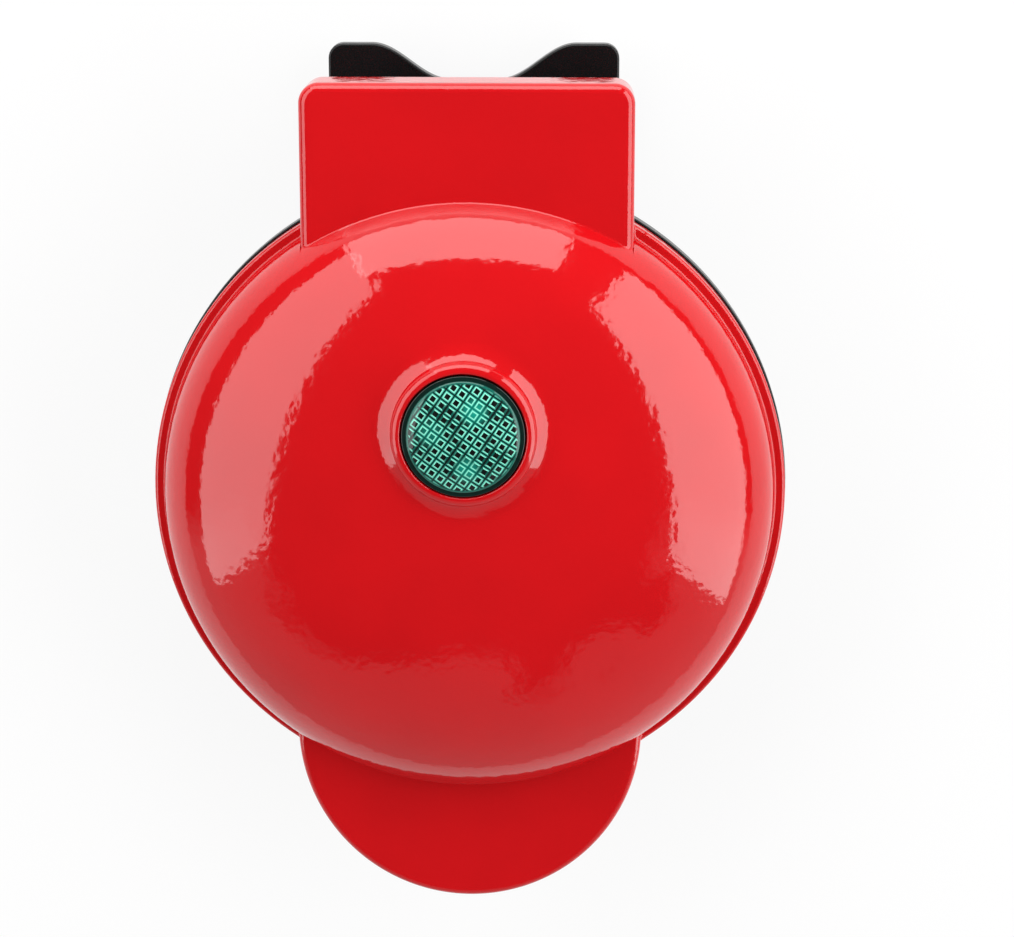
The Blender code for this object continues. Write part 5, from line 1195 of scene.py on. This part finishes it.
class DONUTMAKER_OT_base_shell(Operator):
    """Make the black base moulding: bowl, rim, handle, hinge neck, screw wells and foot sockets"""

    bl_idname = "donut_maker.base_shell"
    bl_label = "Base Shell"

    def execute(self, context):
        self.sizes = context.scene.donut_base
        self.lid = context.scene.donut_lid
        self.rim, self.top = BASE_HIGH.x, BASE_HIGH.z
        self.above = self.top + RIM_OVERRUN
        self.neck_bottom = WRAP_HIGH.z + SEAT_GAP
        self.inlet_z = (BUSH_LOW.z + BUSH_HIGH.z) / 2
        self.wells = [middle(node) for node in numbered("base_screw", 4)]
        self.wrap_places = [middle(node) for node in numbered("cord_wrap_screw", 2)]
        shell = self.outside()
        self.hollow_out(shell)
        self.drill(shell)
        material = grained_black_plastic(context.scene.donut_colours)
        dress(shell, material, "base", ["base_housing"])
        return {"FINISHED"}

    def bowl(self, wall):
        """Quarter ellipse from the bowl's flat bottom up to its widest ring."""
        sizes = self.sizes
        turn = np.linspace(0, math.pi / 2, ARC_POINTS)
        across = self.rim - sizes.rim_overhang - sizes.flat_radius - wall
        down = sizes.bowl_top - BASE_LOW.z - wall
        return list(zip(sizes.flat_radius + across * np.sin(turn), sizes.bowl_top - down * np.cos(turn)))

    def handle(self, name, inset, low, high, fillets):
        """Half ellipse in front, as the lid's handle is, with straight sides back into the bowl."""
        across = self.lid.tongue_half_width - inset
        start = -self.lid.tongue_start
        along = start - LID_LOW.y - inset
        turn = np.linspace(math.pi, 2 * math.pi, HANDLE_POINTS)
        curve = np.column_stack([across * np.cos(turn), start + along * np.sin(turn)])
        back = start + self.sizes.tab_root
        outline = np.concatenate([curve, [(across, back), (-across, back)]])
        normals = outward_normals(outline)
        normals[0], normals[len(curve) - 1] = (-1, 0), (1, 0)
        return solid(name, [extruded(outline, normals, low, high, fillets, (0, start), steps=7)])

    def neck(self, name, wall):
        """Hinge neck less a wall: a lower part that reaches back under the block, and an upper part.

        The lid's block swings past the lower part, and its farthest edge stays a gap above it.
        """
        sizes, lid = self.sizes, self.lid
        hinge_y, hinge_z = (PIN_LOW.y + PIN_HIGH.y) / 2, (PIN_LOW.z + PIN_HIGH.z) / 2
        block_top = LID_LOW.z + lid.ledge_height + lid.block_rise
        shelf = hinge_z - math.hypot(LID_HIGH.y - hinge_y, block_top - hinge_z) - sizes.swing_gap
        half, front = sizes.neck_half_width - wall, sizes.neck_front
        rear, face, bottom = BASE_HIGH.y - wall, sizes.neck_face - wall, self.neck_bottom + wall
        corner, fillet = sizes.neck_corner, sizes.neck_fillet
        top, top_fillet = (self.above, fillet) if wall else (self.top, sizes.neck_top_fillet)
        return (
            block_solid(name, half, front, rear, bottom, shelf - wall, corner, fillet),
            block_solid(f"{name}_top", half, front, face, self.inlet_z, top, corner, top_fillet),
        )

    def outside(self):
        """Turned bowl and rim, joined to the handle and both parts of the neck."""
        sizes = self.sizes
        rim = rounded([
            (self.rim - sizes.rim_overhang, sizes.bowl_top),
            (self.rim, sizes.bowl_top, sizes.rim_fillet), (self.rim, self.top, sizes.edge),
            (self.rim - sizes.rim_width, self.top),
        ])
        line = [(0, BASE_LOW.z), *self.bowl(0), *rim[1:], (0, self.top)]
        shell = solid("base_shell", [lathe(line)])
        low = self.top - sizes.tab_depth
        tab = self.handle("tab", sizes.tab_inset, low, self.top, (sizes.tab_fillet, sizes.edge))
        return combine(shell, "UNION", tab, *self.neck("neck", 0))

    def hollow_out(self, shell):
        """Cut out the bowl but for its wells, the handle and the neck but for its bosses."""
        sizes, wall = self.sizes, self.sizes.wall
        line = [
            (0, BASE_LOW.z + wall), *self.bowl(wall),
            (self.rim - sizes.rim_overhang - wall, sizes.liner_seat),
            (self.rim - wall, sizes.liner_seat), (self.rim - wall, self.above), (0, self.above),
        ]
        hollow = solid("bowl_inside", [lathe(line)])
        well = drilled(sizes.well_radius + sizes.well_wall, 0, sizes.well_joint)
        combine(hollow, "DIFFERENCE", pillars("well_walls", self.wells, well))
        low = self.top - sizes.tab_depth + wall
        fillets = (sizes.tab_hollow_fillet, 0)
        tab = self.handle("tab_inside", sizes.tab_inset + wall, low, self.above, fillets)
        neck, upper = self.neck("neck_inside", wall)
        boss = drilled(sizes.wrap_boss, 0, self.neck_bottom + wall + sizes.wrap_grip)
        combine(neck, "UNION", upper)
        combine(neck, "DIFFERENCE", pillars("wrap_bosses", self.wrap_places, boss))
        combine(shell, "DIFFERENCE", hollow, tab, neck)

    def drill(self, shell):
        """Cut the rim open over the neck, and all wells, holes and sockets."""
        sizes, joint = self.sizes, self.sizes.well_joint
        cap, front = sizes.neck_half_width + SEAT_GAP, sizes.neck_front
        edges = (SEAT_GAP, SEAT_GAP / 3)
        gap = block_solid("rim_gap", cap, front, LID_HIGH.y, sizes.liner_seat, self.above, *edges)
        mouth, seat = sizes.well_radius + sizes.well_mouth, joint - sizes.well_flange
        well = [
            (0, 0), (mouth, 0), (mouth, BASE_LOW.z), (sizes.well_radius, BASE_LOW.z + sizes.well_taper),
            (sizes.well_radius, seat), (0, seat),
        ]
        wells = pillars("wells", self.wells, well)
        hole = drilled(sizes.hole_radius, 0, joint + CUT_OVERRUN)
        holes = pillars("well_holes", self.wells, hole, HOLE_STEPS)
        low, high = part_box("foot_1")
        socket = drilled((high.x - low.x) / 2 + SEAT_GAP, 0, high.z + SEAT_GAP)
        sockets = pillars("foot_sockets", [middle(node) for node in numbered("foot", 4)], socket)
        pilot = drilled(sizes.hole_radius, 0, self.neck_bottom + sizes.wrap_grip)
        pilots = pillars("wrap_pilots", self.wrap_places, pilot, HOLE_STEPS)
        inner_face = BASE_HIGH.y - sizes.wall - CUT_OVERRUN
        line = drilled(sizes.inlet_radius, inner_face, BASE_HIGH.y + CUT_OVERRUN)
        inlet = solid("inlet_hole", [lathe(line, SMALL_ROUND_STEPS, (0, self.inlet_z), "Y")])
        combine(shell, "DIFFERENCE", gap, wells, holes, sockets, pilots, inlet)


class DONUTMAKER_OT_cord_wrap(Operator):
    """Make the plate behind the base that the cord is wound on, with its two horns"""

    bl_idname = "donut_maker.cord_wrap"
    bl_label = "Cord Wrap Plate"

    def execute(self, context):
        sizes = context.scene.donut_wrap
        low, high = WRAP_LOW.z, WRAP_HIGH.z
        plate = bevelled(slab("wrap_plate", self.outline(sizes), low, high), sizes.edge)
        places = [middle(node) for node in numbered("cord_wrap_screw", 2)]
        head = drilled(sizes.head_well, low - CUT_OVERRUN, high - sizes.flange)
        hole = drilled(sizes.hole, low - CUT_OVERRUN, high + CUT_OVERRUN)
        heads, holes = pillars("heads", places, head), pillars("holes", places, hole, HOLE_STEPS)
        combine(plate, "DIFFERENCE", heads, holes)
        material = grained_black_plastic(context.scene.donut_colours)
        dress(plate, material, "base", ["cord_wrap_plate"])
        return {"FINISHED"}

    def outline(self, sizes):
        """Circle round the bowl in front, straight sides, and behind a rounded horn on either side.

        Between the horns the edge follows y = rear - depth x (1 - cos(pi x share)) / 2, where the
        share runs from 0 at the horn's inner end to 1 at the saddle's.
        """
        half, rear = WRAP_HIGH.x, WRAP_HIGH.y
        corner, clear = sizes.corner, sizes.front_radius
        reach = math.asin(half / clear)
        turn = np.linspace(-reach, reach, FRONT_POINTS)
        front = np.column_stack([clear * np.sin(turn), clear * np.cos(turn)])
        around = np.linspace(0, math.pi / 2, CORNER_POINTS)
        horn = corner * np.column_stack([np.cos(around), np.sin(around)])
        horn += (half - corner, rear - corner)
        share = np.linspace(0, 1, SADDLE_POINTS)
        x = sizes.horn_inner + (sizes.saddle - sizes.horn_inner) * share
        slope = np.column_stack([x, rear - sizes.saddle_depth * (1 - np.cos(np.pi * share)) / 2])
        right = np.concatenate([horn, slope])
        return np.concatenate([front, right, right[::-1] * (-1, 1)])


class DONUTMAKER_OT_feet_and_bush(Operator):
    """Make the four dished rubber feet and the flanged bush in the cord's hole"""

    bl_idname = "donut_maker.feet_and_bush"
    bl_label = "Feet and Bush"

    def execute(self, context):
        material = moulded_rubber(context.scene.donut_colours)
        sizes = context.scene.donut_rubber
        names = numbered("foot", 4)
        foot = self.foot(sizes, *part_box(names[0]))
        feet = pillars("rubber_feet", [middle(node) for node in names], foot, RUBBER_STEPS)
        dress(feet, material, "base", names)
        centre = (BUSH_LOW.x + BUSH_HIGH.x) / 2, (BUSH_LOW.z + BUSH_HIGH.z) / 2
        body = context.scene.donut_base.inlet_radius - SEAT_GAP
        bush = solid("inlet_bush", [lathe(self.bush(sizes, body), RUBBER_STEPS, centre, "Y")])
        dress(bush, material, "base", ["cord_inlet_bush"])
        return {"FINISHED"}

    def foot(self, sizes, low, high):
        """Section of a foot: hollow, flat ring, sloping edge and side."""
        radius = (high.x - low.x) / 2
        dish, flat = (radius * share for share in DISH_SHARES)
        hollow, fillet = low.z + sizes.dish, sizes.foot_fillet
        return rounded([
            (0, hollow), (dish, hollow, sizes.dish_round), (flat, low.z, fillet),
            (radius - fillet, low.z, sizes.foot_edge), (radius, low.z + sizes.foot_bevel, fillet),
            (radius, high.z), (0, high.z),
        ], count=6)

    def bush(self, sizes, body):
        """Section of the bush: bore, flange behind the neck, and a body of this radius in its hole."""
        bore, edge, low, high = sizes.bore, sizes.edge, BUSH_LOW.y, BUSH_HIGH.y
        flange, step = (BUSH_HIGH.x - BUSH_LOW.x) / 2, high - sizes.flange
        start = (bore, (low + high) / 2)
        return rounded([
            start, (bore, high, sizes.mouth), (flange, high, sizes.rim), (flange, step, edge),
            (body, step), (body, low, edge), (bore, low, edge), start,
        ], count=6)


class DONUTMAKER_OT_screws(Operator):
    """Make the screws that can be seen: domed heads with a cross recess over a threaded shank"""

    bl_idname = "donut_maker.screws"
    bl_label = "Screws"

    def execute(self, context):
        sizes = context.scene.donut_screws
        material = zinc_plated_steel(context.scene.donut_colours)
        groups = (("base_screw", 4, "base"), ("cord_wrap_screw", 2, "base"), ("lid_screw", 4, "lid"))
        for name, count, body in groups:
            names = numbered(name, count)
            low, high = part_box(names[0])
            places = [middle(node) for node in names]
            screws = pillars(f"{name}s", places, self.line(sizes, low.z, high.z), SCREW_STEPS)
            combine(screws, "DIFFERENCE", *(self.cross(sizes, place, low.z) for place in places))
            dress(screws, material, body, names)
        return {"FINISHED"}

    def line(self, sizes, low, high):
        """Domed head that falls by dome x (r / head)^2.2, a zigzag for the thread, and a short cone."""
        under = low + sizes.head_height
        shares = np.linspace(0, 1, LIP_POINTS)
        dome = [(sizes.head * share, low + sizes.dome * share**HEAD_POWER) for share in shares]
        side = [dome[-1], (sizes.head, under, sizes.head_edge), (sizes.core, under)]
        thread = []
        for number in range(int((high - under - sizes.plain) / sizes.pitch)):
            start = under + sizes.run_out + number * sizes.pitch
            thread += [(sizes.core, start), (sizes.shank, start + sizes.pitch / 2)]
        return [*dome, *rounded(side, count=4)[1:], *thread, (sizes.core, high - sizes.tip), (0, high)]

    def cross(self, sizes, place, low):
        """A plus sign in outline, as deep as the drive."""
        long, short = sizes.drive, sizes.slot / 2
        quarters = [np.array([(long, -short), (long, short), (short, short)])]
        for _ in range(3):
            quarters.append(quarters[-1][:, ::-1] * (-1, 1))
        outline = np.concatenate(quarters) + place
        return slab("cross", outline, low - CUT_OVERRUN, low + sizes.drive_depth)


class DONUTMAKER_OT_frame_finishes(Operator):
    """Give every carried-over piece of the frame the finish of its material slot"""

    bl_idname = "donut_maker.frame_finishes"
    bl_label = "Frame Finishes"

    def execute(self, context):
        slots = {part["node"]: part["material_slot"] for part in frame["record"]["subparts"]}
        for name, node in frame["nodes"].items():
            if not node.hide_render:
                node.data.materials.clear()
                node.data.materials.append(FINISHES[slots[name]](context.scene.donut_colours))
        return {"FINISHED"}


class DONUTMAKER_OT_studio(Operator):
    """Make the pale floor, the soft lights, the surroundings and the photograph's camera"""

    bl_idname = "donut_maker.studio"
    bl_label = "Studio"

    def execute(self, context):
        settings = context.scene.donut_studio
        across = np.linspace(-settings.floor_size / 2, settings.floor_size / 2, FLOOR_POINTS)
        grid = np.stack(np.meshgrid(across, across), axis=-1).reshape(-1, 2)
        faces = quads(FLOOR_POINTS, FLOOR_POINTS)
        floor = link_mesh("studio_floor", at_level(grid, -FLOOR_DROP), faces)
        floor.data.materials.append(studio_paper(context.scene.donut_colours))
        for name, angles in SOFTBOXES.items():
            self.softbox(context, name, *angles, getattr(settings, name), settings.distance)
        context.scene.world = self.surroundings(settings)
        self.camera(context)
        context.scene.view_settings.view_transform = "Standard"
        return {"FINISHED"}

    def softbox(self, context, name, azimuth, half_width, low, high, radiance, distance):
        """An upright soft light whose angles are seen from the middle of the lid's lower edge.

        Its power is radiance x pi x area, so that the panel looks equally bright from anywhere.
        """
        light = bpy.data.lights.new(f"softbox_{name}", "AREA")
        light.shape = "RECTANGLE"
        bottom, top = (distance * math.tan(math.radians(angle)) for angle in (low, high))
        light.size = 2 * distance * math.tan(math.radians(half_width))
        light.size_y = top - bottom
        light.energy = radiance * math.pi * light.size * light.size_y
        around = math.radians(azimuth)
        towards = Vector((math.cos(around), math.sin(around), 0))
        lamp = bpy.data.objects.new(light.name, light)
        lamp.location = towards * distance + Vector((0, 0, LID_LOW.z + (bottom + top) / 2))
        lamp.rotation_euler = towards.to_track_quat("Z", "Y").to_euler()
        lamp.visible_camera = False
        context.scene.collection.objects.link(lamp)

    def surroundings(self, settings):
        """White for the camera; to all other rays a dark room with a pale wall in front.

        The wall's share is a ramp of the ray's height, whose upper edge a noise breaks up, times a
        ramp of how far its level part points to -Y.
        """
        world = bpy.data.worlds.new("studio_surroundings")
        world.use_nodes = True
        tree = world.node_tree
        tree.nodes.clear()
        ray = add_node(tree, "TexCoord").outputs["Generated"]
        flat = add_node(tree, "VectorMath", [ray, (1, 1, 0)], operation="MULTIPLY")
        level = add_node(tree, "VectorMath", [flat], operation="NORMALIZE")
        ahead = add_node(tree, "VectorMath", [level, (0, -1, 0)], operation="DOT_PRODUCT")
        height = add_node(tree, "SeparateXYZ", [ray]).outputs["Z"]
        reach = add_node(tree, "MapRange", [ahead, *WALL_AHEAD])
        lower = add_node(tree, "MapRange", [height, *WALL_FADE])
        patchy = add_node(tree, "TexNoise", [ray, 1 / WALL_PATCH, 3.0])
        shift = add_node(tree, "MapRange", [patchy, *WALL_NOISE])
        broken = add_node(tree, "Math", [height, shift], operation="ADD")
        edge = add_node(tree, "MapRange", [broken, *WALL_TOP])
        upright = add_node(tree, "Math", [edge, lower], operation="MULTIPLY")
        share = add_node(tree, "Math", [reach, upright], operation="MULTIPLY")
        tones = (settings.room,) * 3, (settings.wall,) * 3
        colour = add_node(tree, "Mix", [share, *tones], data_type="RGBA")
        seen = add_node(tree, "LightPath").outputs["Is Camera Ray"]
        colour = add_node(tree, "Mix", [seen, colour, (1, 1, 1)], data_type="RGBA")
        background = add_node(tree, "Background", [colour, 1.0])
        add_node(tree, "OutputWorld", {"Surface": background})
        return world

    def camera(self, context):
        """The photograph's view: high over the hinge side, with a long lens."""
        data = bpy.data.cameras.new("photo_camera")
        data.sensor_fit = "HORIZONTAL"
        data.sensor_width = SENSOR_MM
        data.lens = FOCAL_PIXELS / IMAGE_WIDTH * SENSOR_MM
        data.clip_start = CAMERA_CLIP
        camera = bpy.data.objects.new("photo_camera", data)
        back = CAMERA_BACK.normalized()
        right = Vector((0, 1, 0)).cross(back).normalized()
        turn = Matrix((right, back.cross(right), back)).transposed().to_4x4()
        camera.matrix_world = Matrix.Translation(CAMERA_PLACE) @ turn
        context.scene.collection.objects.link(camera)
        context.scene.camera = camera


OPERATORS = (
    DONUTMAKER_OT_lid_cover,
    DONUTMAKER_OT_lens,
    DONUTMAKER_OT_baking_plates,
    DONUTMAKER_OT_base_shell,
    DONUTMAKER_OT_cord_wrap,
    DONUTMAKER_OT_feet_and_bush,
    DONUTMAKER_OT_screws,
    DONUTMAKER_OT_frame_finishes,
    DONUTMAKER_OT_studio,
)


class DONUTMAKER_PT_panel(Panel):
    """Lists the steps that make the donut maker"""

    bl_idname = "DONUTMAKER_PT_panel"
    bl_label = "Mini Donut Maker"
    bl_space_type = "VIEW_3D"
    bl_region_type = "UI"
    bl_category = "Donut Maker"

    def draw(self, context):
        for step in OPERATORS:
            self.layout.operator(step.bl_idname)


GROUPS = {
    "donut_lid": LidSizes, "donut_lens": LensSizes, "donut_plates": PlateSizes, "donut_base": BaseSizes,
    "donut_wrap": WrapSizes, "donut_rubber": RubberSizes, "donut_screws": ScrewSizes,
    "donut_colours": FinishColours, "donut_studio": StudioSettings,
}
CLASSES = (*GROUPS.values(), *OPERATORS, DONUTMAKER_PT_panel)


def register():
    """Register the classes and hang the groups of sizes on the scene."""
    for made in CLASSES:
        bpy.utils.register_class(made)
    for name, group in GROUPS.items():
        setattr(bpy.types.Scene, name, PointerProperty(type=group))


def unregister():
    """Take away what register added."""
    for name in GROUPS:
        delattr(bpy.types.Scene, name)
    for made in reversed(CLASSES):
        bpy.utils.unregister_class(made)


def main():
    """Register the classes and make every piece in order."""
    register()
    for step in OPERATORS:
        group, name = step.bl_idname.split(".")
        getattr(getattr(bpy.ops, group), name)()


if __name__ == "__main__":
    main()
